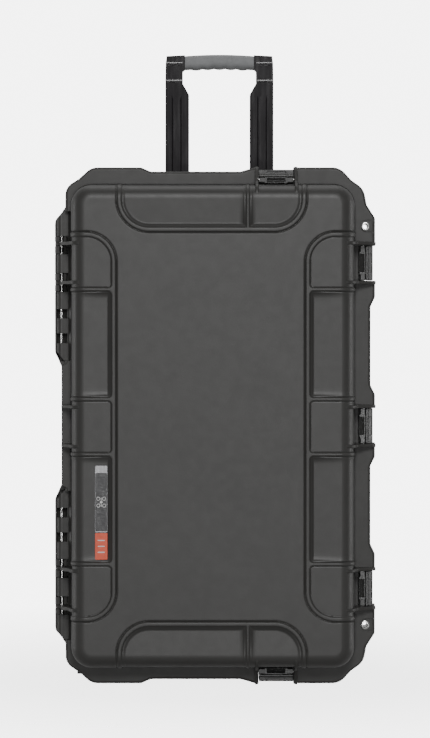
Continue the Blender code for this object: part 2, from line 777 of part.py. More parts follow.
def make_base_trim(paint):
    """Hinge pins, padlock eyelets, the pressure valve and the wheel axles."""
    for label, (low, high) in zip(("upper", "lower"), both_ways([HINGE_REACH])):
        pin = rod("hinge_pin_" + label, (HINGE_X, HINGE_Y), 2, low + 1.0, high - 1.0, HINGE_PIN_R, 12)
        finish(pin, paint["steel"])
    bore, body, head = EYELET_BORE_R, EYELET_R, EYELET_R + 1.4
    lid = [(-93.6, bore), (-93.6, head), (-92.3, head), (-92.3, body), (-72.6, body), (-72.6, bore)]
    base = [(-71.4, bore), (-71.4, body), (-49.7, body), (-49.7, head), (-48.4, head), (-48.4, bore)]
    for label, offset in (("upper", PADLOCK_OFFSET), ("lower", -PADLOCK_OFFSET)):
        centre = (PADLOCK_X, MID_Z + offset)
        finish(turned("lid_eyelet_" + label, centre, 1, lid, 12), paint["steel"])
        finish(turned("base_eyelet_" + label, centre, 1, base, 12), paint["steel"])
    wall = BODY_X + BODY_HALF_X
    valve = rod("valve_body", (VALVE_Y, VALVE_Z), 0, wall + 1.4, wall + 5.4, VALVE_HEAD_R, 24)
    union(valve, rod("shank", (VALVE_Y, VALVE_Z), 0, wall - 4.6, wall + 2.0, VALVE_SHANK_R, 20))
    finish(valve, paint["latch"])
    inner, outer = VALVE_SHANK_R + 0.4, VALVE_HEAD_R - 1.5
    seal = [(wall - 0.1, inner), (wall + 1.1, inner), (wall + 1.1, outer), (wall - 0.1, outer)]
    finish(turned("valve_seal", (VALVE_Y, VALVE_Z), 0, seal, 16), paint["rubber"])
    for label, sign in wheel_sides().items():
        x = BODY_X + sign * WHEEL_OFFSET
        outside = BODY_X + sign * (BODY_HALF_X - DRAFT + 1.0)
        shank = sorted((x - sign * (WELL_HALF + 7.0), outside + sign * 1.0))
        axle = rod("wheel_axle_" + label, (WHEEL_Y, WHEEL_Z), 0, *shank, AXLE_R, 16)
        head = sorted((outside, outside + sign * 3.0))
        union(axle, rod("head", (WHEEL_Y, WHEEL_Z), 0, *head, AXLE_HEAD_R, 20))
        finish(axle, paint["steel"])


# ---------------------------------------------------------------- latches
def make_latch(name, place, paint):
    """A lever that turns on a pin through the lid's ribs, with a sliding lock let into its outer face."""
    lever = place.prism("latch_" + name, LEVER, -LATCH_HALF, LATCH_HALF)
    cut(lever, place.pin("bore", -PIVOT_IN, PIVOT_Y, LATCH_PIN_R + 0.3, -40.0, 40.0, 16))
    pocket_y = (LOCK_Y[0] - LOCK_TRAVEL - 0.5, LOCK_Y[1] + 0.5)
    pocket_half = LOCK_HALF + 0.4
    cut(lever, place.box("pocket", (-pocket_half, pocket_half), (LOCK_OUT[0] - 0.4, 5.0), pocket_y))
    finish(lever, paint["latch"])
    lock = place.box("latch_lock_" + name, (-LOCK_HALF, LOCK_HALF), LOCK_OUT, LOCK_Y)
    finish(lock, paint["gloss"])
    pin = place.pin("latch_pin_" + name, -PIVOT_IN, PIVOT_Y, LATCH_PIN_R, -32.0, 32.0, 12)
    finish(pin, paint["steel"])


# ---------------------------------------------------------------- pull handle
def make_pull_handle(paint):
    """Two legs, the yoke that joins them and the soft grip on it, drawn out to the stop."""
    for label, sign in (("left", -1), ("right", 1)):
        outline = [
            (LEG_OUT, LEG_BOTTOM_Z),
            (LEG_OUT, LEG_TOP_Z - GAP),
            (LEG_NECK_IN, LEG_TOP_Z - GAP),
            (LEG_NECK_IN, LEG_TOP_Z - 6.0),
            (LEG_IN, LEG_SHOULDER_Z),
            (LEG_IN, LEG_BOTTOM_Z),
        ]
        outline = [(HANDLE_X + sign * x, z) for x, z in outline]
        leg = slab("pull_handle_leg_" + label, outline, *LEG_Y)
        groove = sorted(HANDLE_X + sign * x for x in LEG_GROOVE)
        depth = LEG_GROOVE_DEPTH
        for y in ((LEG_Y[0] - 5.0, LEG_Y[0] + depth), (LEG_Y[1] - depth, LEG_Y[1] + 5.0)):
            size = (groove[0], y[0], LEG_BOTTOM_Z - 5.0), (groove[1], y[1], LEG_SHOULDER_Z + 8.0)
            cut(leg, block("groove", *size))
        finish(leg, paint["gloss"])
    middle_y = sum(LEG_Y) / 2
    bar_z = (GRIP_Z[0] + 5.0, GRIP_Z[1] - 6.0)
    bar_y = (middle_y - 7.0, middle_y + 7.0)
    size = (HANDLE_X - 75.0, bar_y[0], bar_z[0]), (HANDLE_X + 75.0, bar_y[1], bar_z[1])
    yoke = block("pull_handle_yoke", *size)
    for sign in (-1, 1):
        outline = [
            (LEG_OUT, LEG_TOP_Z),
            (LEG_OUT - 0.5, YOKE_TOP_Z - 18.0),
            (LEG_OUT - 3.0, YOKE_TOP_Z - 1.0),
            (GRIP_HALF + 0.5, YOKE_TOP_Z + 1.0),
            (GRIP_HALF + 0.5, YOKE_TOP_Z - 21.0),
            (LEG_NECK_IN, YOKE_TOP_Z - 28.0),
            (LEG_NECK_IN, LEG_TOP_Z),
        ]
        outline = [(HANDLE_X + sign * x, z) for x, z in outline]
        union(yoke, slab("neck", outline, LEG_Y[0] - 1.0, LEG_Y[1] + 1.0))
    finish(yoke, paint["gloss"])
    grip_z, half_z, half_y = sum(GRIP_Z) / 2, (GRIP_Z[1] - GRIP_Z[0]) / 2, 15.0
    rings = []
    for share in (-1.0, -0.5, 0.0, 0.5, 1.0):
        lift = 1.5 * (1 - share * share) - 1.5
        section = circle(1.0, 20)
        x = HANDLE_X + share * GRIP_HALF
        rings.append([(x, middle_y + half_y * a, grip_z + lift + half_z * b) for a, b in section])
    grip = loft("pull_handle_grip", rings)
    low = (HANDLE_X - 70.0, bar_y[0] - GAP, bar_z[0] - GAP)
    high = (HANDLE_X + 70.0, bar_y[1] + GAP, bar_z[1] + GAP)
    cut(grip, block("hole", low, high))
    finish(grip, paint["grip"])


def make_handle_bay(paint):
    """What closes the bay in the base's back: guides, cover, release button, lock bar and spring."""
    clear = LEG_CLEARANCE
    for label, sign in (("left", -1), ("right", 1)):
        x = sorted((HANDLE_X + sign * (BAY_HALF - GAP), HANDLE_X + sign * (LEG_IN - 5.0)))
        low, high = BAY_FLOOR_Y + GAP, COVER_Y[0] - GAP
        guide = block("leg_guide_" + label, (x[0], low, GUIDE_Z), (x[1], high, COVER_TOP_Z))
        hole = sorted((HANDLE_X + sign * (LEG_OUT + clear), HANDLE_X + sign * (LEG_IN - clear)))
        y = (LEG_Y[0] - 1.0 - clear, LEG_Y[1] + 1.0 + clear)
        cut(guide, block("hole", (hole[0], y[0], 700.0), (hole[1], y[1], 800.0)))
        finish(guide, paint["latch"])
    left, right = HANDLE_X - BAY_HALF + GAP, HANDLE_X + BAY_HALF - GAP
    size = (left, COVER_Y[0], BAY_BOTTOM_Z + GAP), (right, COVER_Y[1], COVER_TOP_Z)
    cover = block("handle_bay_cover", *size)
    x, z = BUTTON_HALF[0] + 1.0, BUTTON_HALF[1] + 1.0
    cut(cover, block("hole", (HANDLE_X - x, 120.0, BUTTON_Z - z), (HANDLE_X + x, 150.0, BUTTON_Z + z)))
    finish(cover, paint["shell"])
    x, z = BUTTON_HALF
    size = (HANDLE_X - x, BUTTON_Y[0], BUTTON_Z - z), (HANDLE_X + x, BUTTON_Y[1], BUTTON_Z + z)
    finish(block("release_button", *size), paint["gloss"])
    end = LEG_IN - 1.0
    size = (HANDLE_X - end, LOCK_BAR_Y[0], BUTTON_Z - 7.0), (HANDLE_X + end, LOCK_BAR_Y[1], BUTTON_Z + 7.0)
    finish(block("lock_bar", *size), paint["steel"])
    make_spring(paint)


def make_spring(paint):
    """A coil spring between the bay's floor and the lock bar."""
    turns, coil_r, wire_r, per_turn, sides = 4, 5.0, 0.8, 8, 5
    low, high = BAY_FLOOR_Y + GAP + wire_r, LOCK_BAR_Y[0] - GAP - wire_r
    rings = []
    for i in range(turns * per_turn + 1):
        angle = 2 * math.pi * i / per_turn
        y = low + (high - low) * i / (turns * per_turn)
        ring = []
        for a, b in circle(wire_r, sides):
            reach = coil_r + a
            ring.append((HANDLE_X + reach * math.cos(angle), y + b, BUTTON_Z + reach * math.sin(angle)))
        rings.append(ring)
    finish(loft("release_spring", rings), paint["steel"], 80.0)


# ---------------------------------------------------------------- wheels
def make_wheel(label, sign, paint):
    """Tyre, hub and two ball bearings, turning on the axle."""
    x = BODY_X + sign * WHEEL_OFFSET
    centre = (WHEEL_Y, WHEEL_Z)
    half = WHEEL_HALF
    tyre = [
        (x - half, TYRE_IN + GAP),
        (x - half, WHEEL_R - 5.0),
        (x - half + 5.0, WHEEL_R),
        (x + half - 5.0, WHEEL_R),
        (x + half, WHEEL_R - 5.0),
        (x + half, TYRE_IN + GAP),
    ]
    finish(turned("tyre_" + label, centre, 0, tyre, 28), paint["tyre"])
    seat, bore, race = BEARING_SEAT_R, BEARING_SEAT_R - 2.3, half - 8.0
    hub = [
        (x - half + 1.0, seat),
        (x - half + 1.0, 16.0),
        (x - half + 4.0, 28.0),
        (x - half + 1.0, TYRE_IN),
        (x + half - 1.0, TYRE_IN),
        (x + half - 4.0, 28.0),
        (x + half - 1.0, 16.0),
        (x + half - 1.0, seat),
        (x + race, seat),
        (x + race, bore),
        (x - race, bore),
        (x - race, seat),
    ]
    finish(turned("wheel_hub_" + label, centre, 0, hub, 20), paint["latch"])
    for place, way in (("inner", -sign), ("outer", sign)):
        low, high = sorted((x + way * (race + GAP), x + way * (half - 1.0)))
        ring = [(low, BEARING_BORE_R), (high, BEARING_BORE_R), (high, BEARING_R), (low, BEARING_R)]
        finish(turned(f"wheel_bearing_{label}_{place}", centre, 0, ring, 16), paint["steel"])


# ---------------------------------------------------------------- carry handles
def make_carry_handle(name, place, paint):
    """A folding handle: a frame on two pins, with a soft sleeve round its bar."""
    wall = wall_out(place)
    arm_out = (wall + 8.0, wall + 18.0)
    arm_y = (CARRY_AXIS_Y - 6.5, 47.0)
    bar_y = (34.0, 46.0)
    frame = place.box(name + "_handle_frame", (-CARRY_HALF, CARRY_HALF), arm_out, bar_y)
    axis = (wall + CARRY_AXIS_OUT, CARRY_AXIS_Y)
    for low, high in ((-CARRY_HALF, -CARRY_HALF + 10.0), (CARRY_HALF - 10.0, CARRY_HALF)):
        union(frame, place.box("arm", (low, high), (arm_out[0] - 0.5, arm_out[1] + 0.5), arm_y))
        cut(frame, place.pin("bore", *axis, CARRY_BORE_R, low - 2.0, high + 2.0, 16))
    finish(frame, paint["latch"])
    sleeve_half = CARRY_HALF - 11.0
    middle = (wall + CARRY_AXIS_OUT, sum(bar_y) / 2)
    section = [(middle[0] + SLEEVE_R[0] * a, middle[1] + SLEEVE_R[1] * b) for a, b in circle(1.0, 20)]
    sleeve = place.prism(name + "_handle_grip", section, -sleeve_half, sleeve_half)
    hole = (arm_out[0] - GAP, arm_out[1] + GAP), (bar_y[0] - GAP, bar_y[1] + GAP)
    cut(sleeve, place.box("hole", (-80.0, 80.0), *hole))
    finish(sleeve, paint["grip"])
    inner, outer = CARRY_HALF - 8.0, CARRY_HALF + 9.5
    for label, reach in (("a", (-outer, -inner)), ("b", (inner, outer))):
        pin = place.pin(f"{name}_handle_pin_{label}", *axis, CARRY_PIN_R, *reach, 12)
        finish(pin, paint["steel"])


# ---------------------------------------------------------------- foam
def foam_pockets():
    """The pockets cut through the upper foam: (low x, high x, low z, high z)."""
    pockets = [DRONE_POCKET, CONTROLLER_POCKET, CHARGER_POCKET, PROPELLER_POCKET]
    width, height = BATTERY
    for i in range(4):
        low_x = BODY_X + (i - 1.5) * (width + BATTERY_WALL) - width / 2
        pockets.append((low_x, low_x + width, BATTERY_Z, BATTERY_Z + height))
    return pockets


def make_foam(paint):
    """Two layers: one with the pockets cut through it, and the pad that closes them underneath."""
    upper = body_loft("foam_pocket_layer", [(FOAM_FRONT_Y, FOAM_INSET), (POCKET_FLOOR_Y, FOAM_INSET + 1.4)])
    for low_x, high_x, low_z, high_z in foam_pockets():
        centre = ((low_x + high_x) / 2, (low_z + high_z) / 2)
        outline = rounded_box((high_x - low_x) / 2, (high_z - low_z) / 2, POCKET_ROUND, centre, 2)
        cut(upper, slab("pocket", outline, FOAM_FRONT_Y - 10.0, POCKET_FLOOR_Y + 10.0))
    finish(upper, paint["foam"])
    pad_low, bay_top = POCKET_FLOOR_Y + GAP, BAY_FLOOR_Y - WALL - 1.0
    pad = body_loft("foam_floor_pad", [(pad_low, FOAM_INSET + 1.8), (bay_top, FOAM_INSET + 2.2)])
    deep_z = (WELL_TOP_Z + WALL + 1.0, BAY_BOTTOM_Z - WALL - 1.0)
    inset = FOAM_INSET + 6.0
    low_x, high_x = BODY_X - BODY_HALF_X + inset, BODY_X + BODY_HALF_X - inset
    back = BODY_BACK_Y - WALL - 8.0
    union(pad, block("deep", (low_x, bay_top - 4.0, deep_z[0]), (high_x, back, deep_z[1])))
    for sign in wheel_sides().values():
        inner = BODY_X + sign * (WHEEL_OFFSET - WELL_HALF - CHEEK - 1.0)
        x = sorted((inner, BODY_X + sign * 300.0))
        cut(pad, block("corner", (x[0], WELL_Y - WALL - 1.0, -50.0), (x[1], 200.0, WELL_TOP_Z + WALL + 1.0)))
    finish(pad, paint["foam"])


# ---------------------------------------------------------------- joints
def world_place(obj):
    """Where an object stands, through its parents, none of which is turned."""
    return obj.location + (world_place(obj.parent) if obj.parent else Vector())


def joint(name, place, parent=None):
    """An empty on a joint's axis, which carries what moves there."""
    axis = bpy.data.objects.new(name, None)
    axis.empty_display_size = 20.0 * MM
    axis.location = Vector(place) * MM - (world_place(parent) if parent else Vector())
    axis.parent = parent
    bpy.context.scene.collection.objects.link(axis)
    return axis


def hang(axis, *names):
    """Puts pieces under a joint's empty, with their origins on its axis."""
    for name in names:
        piece = bpy.data.objects[name]
        piece.data.transform(Matrix.Translation(-world_place(axis)))
        piece.parent = axis


def hang_lid():
    """The lid with what is fixed to it, and the latches and locks that it carries."""
    lid = joint("lid_hinge", (HINGE_X, HINGE_Y, MID_Z))
    hang(lid, "lid_shell", "lid_gasket", "lid_foam", "name_plate", "name_plate_tab")
    hang(lid, "lid_eyelet_upper", "lid_eyelet_lower")
    for name, place in latch_sides().items():
        hang(lid, "latch_pin_" + name)
        lever = joint("latch_turn_" + name, place.point(0.0, -PIVOT_IN, PIVOT_Y), lid)
        hang(lever, "latch_" + name)
        lock = joint("latch_slide_" + name, place.point(0.0, sum(LOCK_OUT) / 2, sum(LOCK_Y) / 2), lever)
        hang(lock, "latch_lock_" + name)


def hang_all():
    hang_lid()
    handle = joint("handle_slide", (HANDLE_X, sum(LEG_Y) / 2, LEG_BOTTOM_Z))
    hang(handle, "pull_handle_leg_left", "pull_handle_leg_right", "pull_handle_yoke", "pull_handle_grip")
    hang(joint("release_press", (HANDLE_X, LOCK_BAR_Y[0], BUTTON_Z)), "release_button", "lock_bar")
    for label, sign in wheel_sides().items():
        spin = joint("wheel_spin_" + label, (BODY_X + sign * WHEEL_OFFSET, WHEEL_Y, WHEEL_Z))
        hang(spin, "tyre_" + label, "wheel_hub_" + label)
        hang(spin, f"wheel_bearing_{label}_inner", f"wheel_bearing_{label}_outer")
    for name, place in carry_places().items():
        axis = place.point(0.0, wall_out(place) + CARRY_AXIS_OUT, CARRY_AXIS_Y)
        swing = joint(name + "_handle_swing", axis)
        hang(swing, name + "_handle_frame", name + "_handle_grip")


def main():
    for obj in list(bpy.data.objects):
        bpy.data.objects.remove(obj)
    paint = make_materials()
    make_base(paint)
    make_base_trim(paint)
    make_lid(paint)
    make_lid_trim(paint)
    for name, place in latch_sides().items():
        make_latch(name, place, paint)
    make_pull_handle(paint)
    make_handle_bay(paint)
    for label, sign in wheel_sides().items():
        make_wheel(label, sign, paint)
    for name, place in carry_places().items():
        make_carry_handle(name, place, paint)
    make_foam(paint)
    hang_all()


main()
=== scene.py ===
"""Looks for the rolling hard case: a finely moulded lid, its latches, the pull handle, wheels and foam.

Sizes are in millimetres, and MM turns them into metres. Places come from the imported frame.
+Z is up, the lid faces -Y, the hinges are at -X and the latches at +X.
"""

import json
import math

import bmesh
import bpy
import numpy as np
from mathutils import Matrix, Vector

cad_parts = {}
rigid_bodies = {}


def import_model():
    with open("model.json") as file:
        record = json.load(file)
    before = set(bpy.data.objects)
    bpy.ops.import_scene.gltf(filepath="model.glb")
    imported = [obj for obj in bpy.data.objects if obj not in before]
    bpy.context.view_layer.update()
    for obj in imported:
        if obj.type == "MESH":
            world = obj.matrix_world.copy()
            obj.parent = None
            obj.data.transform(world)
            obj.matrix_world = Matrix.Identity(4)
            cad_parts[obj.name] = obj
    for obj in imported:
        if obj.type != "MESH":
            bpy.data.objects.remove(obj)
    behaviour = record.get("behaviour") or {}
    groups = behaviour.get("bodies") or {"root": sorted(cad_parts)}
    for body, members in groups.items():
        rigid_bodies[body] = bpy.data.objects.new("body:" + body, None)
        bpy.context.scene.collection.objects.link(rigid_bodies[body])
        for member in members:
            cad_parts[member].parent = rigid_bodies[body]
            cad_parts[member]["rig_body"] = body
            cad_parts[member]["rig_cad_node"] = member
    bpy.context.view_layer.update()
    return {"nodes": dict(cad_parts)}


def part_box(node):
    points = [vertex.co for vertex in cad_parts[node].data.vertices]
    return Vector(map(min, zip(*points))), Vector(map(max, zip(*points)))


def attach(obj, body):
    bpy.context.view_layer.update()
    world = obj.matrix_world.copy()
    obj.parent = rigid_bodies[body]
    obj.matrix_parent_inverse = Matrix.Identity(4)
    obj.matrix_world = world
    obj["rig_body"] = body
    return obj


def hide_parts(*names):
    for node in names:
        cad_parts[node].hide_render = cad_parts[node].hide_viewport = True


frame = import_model()

MM = 0.001


def extent(node):
    """A CAD node's lowest and highest corner, in mm."""
    low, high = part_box(node)
    return low / MM, high / MM


def middle(node):
    low, high = extent(node)
    return (low + high) / 2


def half_size(node):
    low, high = extent(node)
    return (high - low) / 2


# ---- sizes, mm
EDGE_X = extent("base_shell")[1].x
CASE_HEIGHT = extent("base_shell")[1].z
MID_Z = CASE_HEIGHT / 2
FRONT_Y = extent("lid_shell")[0].y
HINGE_X = middle("hinge_pin_upper").x
PARTING_Y = middle("hinge_pin_upper").y
FOAM_INSET = 6.4
BODY_X = middle("foam_pocket_layer").x
BODY_HALF_X = half_size("foam_pocket_layer").x + FOAM_INSET
BODY_HALF_Z = half_size("foam_pocket_layer").z + FOAM_INSET
BODY_CORNER = 26.0
WALL = 4.0
LEFT_WALL_X = BODY_X - BODY_HALF_X
LID_BACK_Y = PARTING_Y - 0.2  # a thin seam stays open between the two halves

# The lid's plain rounded box, which tapers by DRAFT from the rim to the face.
DRAFT = 1.5
FACE_ROUND = 22.0
FACE_CORNER = 9.5
WALL_LENGTH = 49.0
WALL_SLOPE = DRAFT / 56.0
FLAT_X = BODY_HALF_X - DRAFT - FACE_ROUND - FACE_CORNER
FLAT_Z = BODY_HALF_Z - DRAFT - FACE_ROUND - FACE_CORNER
FINE_GRID, QUICK_GRID, COARSE_GRID = 1.0, 1.3, 6.0

# The plateau, and the sunk panels and beads round it.
PLATEAU_X = -3.0
PLATEAU_HALF = 143.3
PLATEAU_LEFT, PLATEAU_RIGHT = PLATEAU_X - PLATEAU_HALF, PLATEAU_X + PLATEAU_HALF
GROUP_HALF_Z = 297.0
BEAD = 8.5
BEAD_HEIGHT = 1.0
LINE_DEPTH = 1.8
LINE_HALF = 1.15
CREASE = 1.4
CROSS_BEAD_HALF = 3.4
SIDE_CROSS_BEADS = (209.0, 42.0)
SIDE_ROUND = 46.0
END_ROUND = 50.0
END_LINE_Z = 296.0
END_CROSS_BEAD = 53.5
DEEP = 4.4
SHALLOW = 1.0
PANEL_CORNER = 5.0
FAR_OUT = 600.0

# The rim, the hinge and the latches.
LID_RIM_FRONT_Y = -92.0
ROLLED_EDGE = ((3.4, 0.3), (1.9, 1.0), (0.7, 2.4), (0.0, 4.6))  # (behind the front, in from the edge)
BARREL_R = 7.5
HINGE_REACH = (100.0, 330.0)
WINDOWS = ((264.0, 292.0), (206.0, 235.0), (165.0, 179.5), (127.0, 142.0))
SIDE_LATCH_OFFSETS = (250.0, 0.0, -250.0)
END_LATCH_X = middle("latch_top").x
FIN_OFFSET = 30.0
FIN_HALF = 2.5
NOTCH_HALF = 27.0
PIVOT_IN = 20.0
PIVOT_Y = -90.0
LATCH_HALF = 26.2
TAB_HALF = 17.0
PIN_COVER = 8.0
EYELET_R = 6.9
PADLOCK = middle("lid_eyelet_upper")

# The pull handle, with places across it counted from its middle.
HANDLE_X = middle("pull_handle_yoke").x
LEG_LOW, LEG_HIGH = extent("pull_handle_leg_right")
YOKE_LOW, YOKE_HIGH = extent("pull_handle_yoke")
GRIP_HALF = half_size("pull_handle_grip")
GRIP_MIDDLE = middle("pull_handle_grip")
LEG_IN = LEG_LOW.x - HANDLE_X
LEG_OUT = LEG_HIGH.x - HANDLE_X
NECK_IN = LEG_IN + 10.0
SHOULDER_Z = LEG_HIGH.z - 19.7
GROOVE_DEPTH = 2.4
GROOVE_LOW_Z = 600.0


# ---- materials
EVEN = (1.0, 1.0, 1.0)


class Paint:
    """A Principled material that is built up from small procedural touches."""

    def __init__(self, name, colour, roughness, metallic=0.0, **sockets):
        self.material = bpy.data.materials.new(name)
        self.material.use_nodes = True
        self.nodes = self.material.node_tree.nodes
        self.links = self.material.node_tree.links
        self.shader = self.nodes["Principled BSDF"]
        self.colour = colour
        self.shader.inputs["Base Color"].default_value = (*colour, 1.0)
        self.shader.inputs["Roughness"].default_value = roughness
        self.shader.inputs["Metallic"].default_value = metallic
        for socket, value in sockets.items():
            self.shader.inputs[socket.replace("_", " ")].default_value = value
        self.place = self.nodes.new("ShaderNodeTexCoord").outputs["Object"]
        self.height = None

    def noise(self, size_mm, detail=3.0, stretch=EVEN):
        """Noise with features about this big. stretch lengthens them along an axis."""
        mapping = self.nodes.new("ShaderNodeMapping")
        mapping.inputs["Scale"].default_value = [1.0 / s for s in stretch]
        self.links.new(self.place, mapping.inputs["Vector"])
        node = self.nodes.new("ShaderNodeTexNoise")
        node.inputs["Scale"].default_value = 1.0 / (size_mm * MM)
        node.inputs["Detail"].default_value = detail
        self.links.new(mapping.outputs["Vector"], node.inputs["Vector"])
        return node.outputs["Fac"]

    def cells(self, size_mm):
        node = self.nodes.new("ShaderNodeTexVoronoi")
        node.inputs["Scale"].default_value = 1.0 / (size_mm * MM)
        self.links.new(self.place, node.inputs["Vector"])
        return node.outputs["Distance"]

    def spread(self, value, low, high, start=0.35, end=0.65):
        """Maps a value from start..end to low..high."""
        node = self.nodes.new("ShaderNodeMapRange")
        for socket, number in (("From Min", start), ("From Max", end), ("To Min", low), ("To Max", high)):
            node.inputs[socket].default_value = number
        self.links.new(value, node.inputs["Value"])
        return node.outputs["Result"]

    def blend(self, factor, first, second):
        """A colour that goes from first to second. Either may be a colour or a socket."""
        node = self.nodes.new("ShaderNodeMix")
        node.data_type = "RGBA"
        self.links.new(factor, node.inputs["Factor"])
        for socket, colour in ((node.inputs[6], first), (node.inputs[7], second)):
            if isinstance(colour, tuple):
                socket.default_value = (*colour, 1.0)
            else:
                self.links.new(colour, socket)
        self.links.new(node.outputs[2], self.shader.inputs["Base Color"])
        self.colour = node.outputs[2]
        return self

    def mottle(self, size_mm, amount, stretch=EVEN):
        base = self.colour
        dark, light = (tuple(c * (1 + way * amount) for c in base) for way in (-1, 1))
        return self.blend(self.spread(self.noise(size_mm, 4.0, stretch), 0.0, 1.0), dark, light)

    def worn(self, colour, start=0.52, end=0.6):
        """Rubbed convex edges."""
        geometry = self.nodes.new("ShaderNodeNewGeometry")
        edge = self.spread(geometry.outputs["Pointiness"], 0.0, 1.0, start, end)
        scuffed = self.nodes.new("ShaderNodeMath")
        scuffed.operation = "MULTIPLY"
        self.links.new(edge, scuffed.inputs[0])
        self.links.new(self.spread(self.noise(9.0), 0.0, 0.8, 0.4, 0.7), scuffed.inputs[1])
        return self.blend(scuffed.outputs[0], self.colour, colour)

    def rough(self, low, high, size_mm, stretch=EVEN):
        level = self.spread(self.noise(size_mm, 4.0, stretch), low, high)
        self.links.new(level, self.shader.inputs["Roughness"])
        return self

    def bump(self, value, depth_mm, strength=1.0):
        node = self.nodes.new("ShaderNodeBump")
        node.inputs["Strength"].default_value = strength
        node.inputs["Distance"].default_value = depth_mm * MM
        self.links.new(value, node.inputs["Height"])
        if self.height is not None:
            self.links.new(self.height, node.inputs["Normal"])
        self.height = node.outputs["Normal"]
        self.links.new(self.height, self.shader.inputs["Normal"])
        return self

    def grain(self, size_mm, depth_mm, strength=1.0, stretch=EVEN):
        return self.bump(self.noise(size_mm, 2.0, stretch), depth_mm, strength)


def make_paints():
    shell = Paint("shell_resin", (0.04, 0.039, 0.037), 0.46)
    shell.mottle(60.0, 0.05).worn((0.08, 0.079, 0.075)).rough(0.44, 0.475, 12.0)
    shell.grain(1.1, 0.12, 0.5).grain(0.35, 0.05, 0.4)
    rim = Paint("rim_resin", (0.038, 0.037, 0.035), 0.47, Specular_IOR_Level=0.42)
    rim.mottle(60.0, 0.05).rough(0.45, 0.485, 12.0).grain(1.1, 0.12, 0.5).grain(0.35, 0.05, 0.4)
    latch = Paint("latch_nylon", (0.035, 0.035, 0.034), 0.3)
    latch.mottle(12.0, 0.1).rough(0.26, 0.32, 6.0).grain(0.5, 0.02, 0.2)
    gloss = Paint("handle_nylon", (0.022, 0.02, 0.022), 0.2)
    gloss.mottle(25.0, 0.12).rough(0.1, 0.17, 5.0, (1.0, 1.0, 12.0)).grain(0.8, 0.02, 0.2, (1.0, 1.0, 8.0))
    moulding = Paint("satin_nylon", (0.04, 0.04, 0.04), 0.42)
    moulding.mottle(20.0, 0.12).rough(0.36, 0.5, 8.0).grain(0.7, 0.06, 0.4)
    grip = Paint("grip_rubber", (0.235, 0.24, 0.245), 0.62, Sheen_Weight=0.12)
    grip.mottle(15.0, 0.06).rough(0.55, 0.7, 4.0).bump(grip.cells(1.2), 0.12, 0.5)
    steel = Paint("polished_steel", (0.62, 0.62, 0.61), 0.22, 1.0)
    steel.mottle(5.0, 0.08).rough(0.18, 0.28, 3.0, (1.0, 1.0, 10.0)).grain(0.4, 0.003, 0.2)
    seal = Paint("seal_rubber", (0.018, 0.018, 0.018), 0.7)
    seal.mottle(8.0, 0.2).rough(0.6, 0.8, 3.0).grain(0.6, 0.05, 0.5)
    tyre = Paint("tyre_rubber", (0.026, 0.026, 0.026), 0.8)
    dust = tyre.spread(tyre.noise(14.0, 6.0), 0.0, 0.45, 0.45, 0.75)
    tyre.blend(dust, (0.026, 0.026, 0.026), (0.09, 0.085, 0.075)).rough(0.7, 0.9, 2.0).grain(0.8, 0.15, 0.6)
    foam = Paint("foam", (0.03, 0.031, 0.034), 0.95, Sheen_Weight=0.35, Sheen_Roughness=0.6)
    foam.mottle(3.0, 0.35).bump(foam.cells(1.6), 0.6, 0.9).grain(0.7, 0.3, 0.6)
    plate = Paint("plate_silver", (0.3, 0.3, 0.31), 0.38, 0.6)
    plate.mottle(4.0, 0.06, (1.0, 1.0, 12.0)).rough(0.3, 0.45, 1.0, (1.0, 1.0, 14.0)).grain(0.5, 0.02, 0.3)
    ink = Paint("plate_ink", (0.03, 0.03, 0.032), 0.35)
    ink.mottle(6.0, 0.15).rough(0.28, 0.42, 3.0).grain(0.4, 0.015, 0.3)
    red = Paint("plate_red", (0.76, 0.09, 0.032), 0.4)
    red.mottle(9.0, 0.05).rough(0.33, 0.46, 3.0).grain(0.4, 0.015, 0.3)
    white = Paint("plate_white", (0.7, 0.7, 0.69), 0.42)
    white.mottle(4.0, 0.05).rough(0.36, 0.5, 2.0)
    paints = {"shell": shell, "rim": rim, "latch": latch, "gloss": gloss, "moulding": moulding, "grip": grip}
    paints |= {"steel": steel, "seal": seal, "tyre": tyre, "foam": foam, "plate": plate, "ink": ink}
    return paints | {"red": red, "white": white}


PAINTS = make_paints()


# ---- shape helpers
def link(obj):
    bpy.context.scene.collection.objects.link(obj)
    return obj


def add_object(name, points, faces):
    mesh = bpy.data.meshes.new(name)
    mesh.from_pydata([Vector(p) * MM for p in points], [], faces)
    shape = bmesh.new()
    shape.from_mesh(mesh)
    bmesh.ops.recalc_face_normals(shape, faces=shape.faces)
    shape.to_mesh(mesh)
    shape.free()
    return link(bpy.data.objects.new(name, mesh))


def ring_faces(rings, closed):
    count = len(rings[0])
    faces = []
    for i in range(len(rings) if closed else len(rings) - 1):
        a, b = i * count, (i + 1) % len(rings) * count
        faces += [(a + j, a + (j + 1) % count, b + (j + 1) % count, b + j) for j in range(count)]
    return faces


def loft(name, rings, closed=False):
    """Joins rings of equally many points. Its ends are capped, unless it is closed on itself."""
    points = [point for ring in rings for point in ring]
    faces = ring_faces(rings, closed)
    if not closed:
        faces += [tuple(range(len(rings[0]))), tuple(range(len(points) - len(rings[0]), len(points)))]
    return add_object(name, points, faces)


def along_y(outline, y):
    return [(x, y, z) for x, z in outline]


def slab(name, outline, y_low, y_high):
    return loft(name, [along_y(outline, y_low), along_y(outline, y_high)])


def block(name, low, high):
    outline = [(low[0], low[2]), (high[0], low[2]), (high[0], high[2]), (low[0], high[2])]
    return slab(name, outline, low[1], high[1])


def circle(radius, count):
    turn = [2 * math.pi * i / count for i in range(count)]
    return [(radius * math.cos(a), radius * math.sin(a)) for a in turn]


def off_axis(centre, axis, a, b, along):
    """A point this far along an axis, 0 to 2 for X to Z, and a and b off its centre in the other two."""
    point = [centre[0] + a, centre[1] + b]
    point.insert(axis, along)
    return tuple(point)


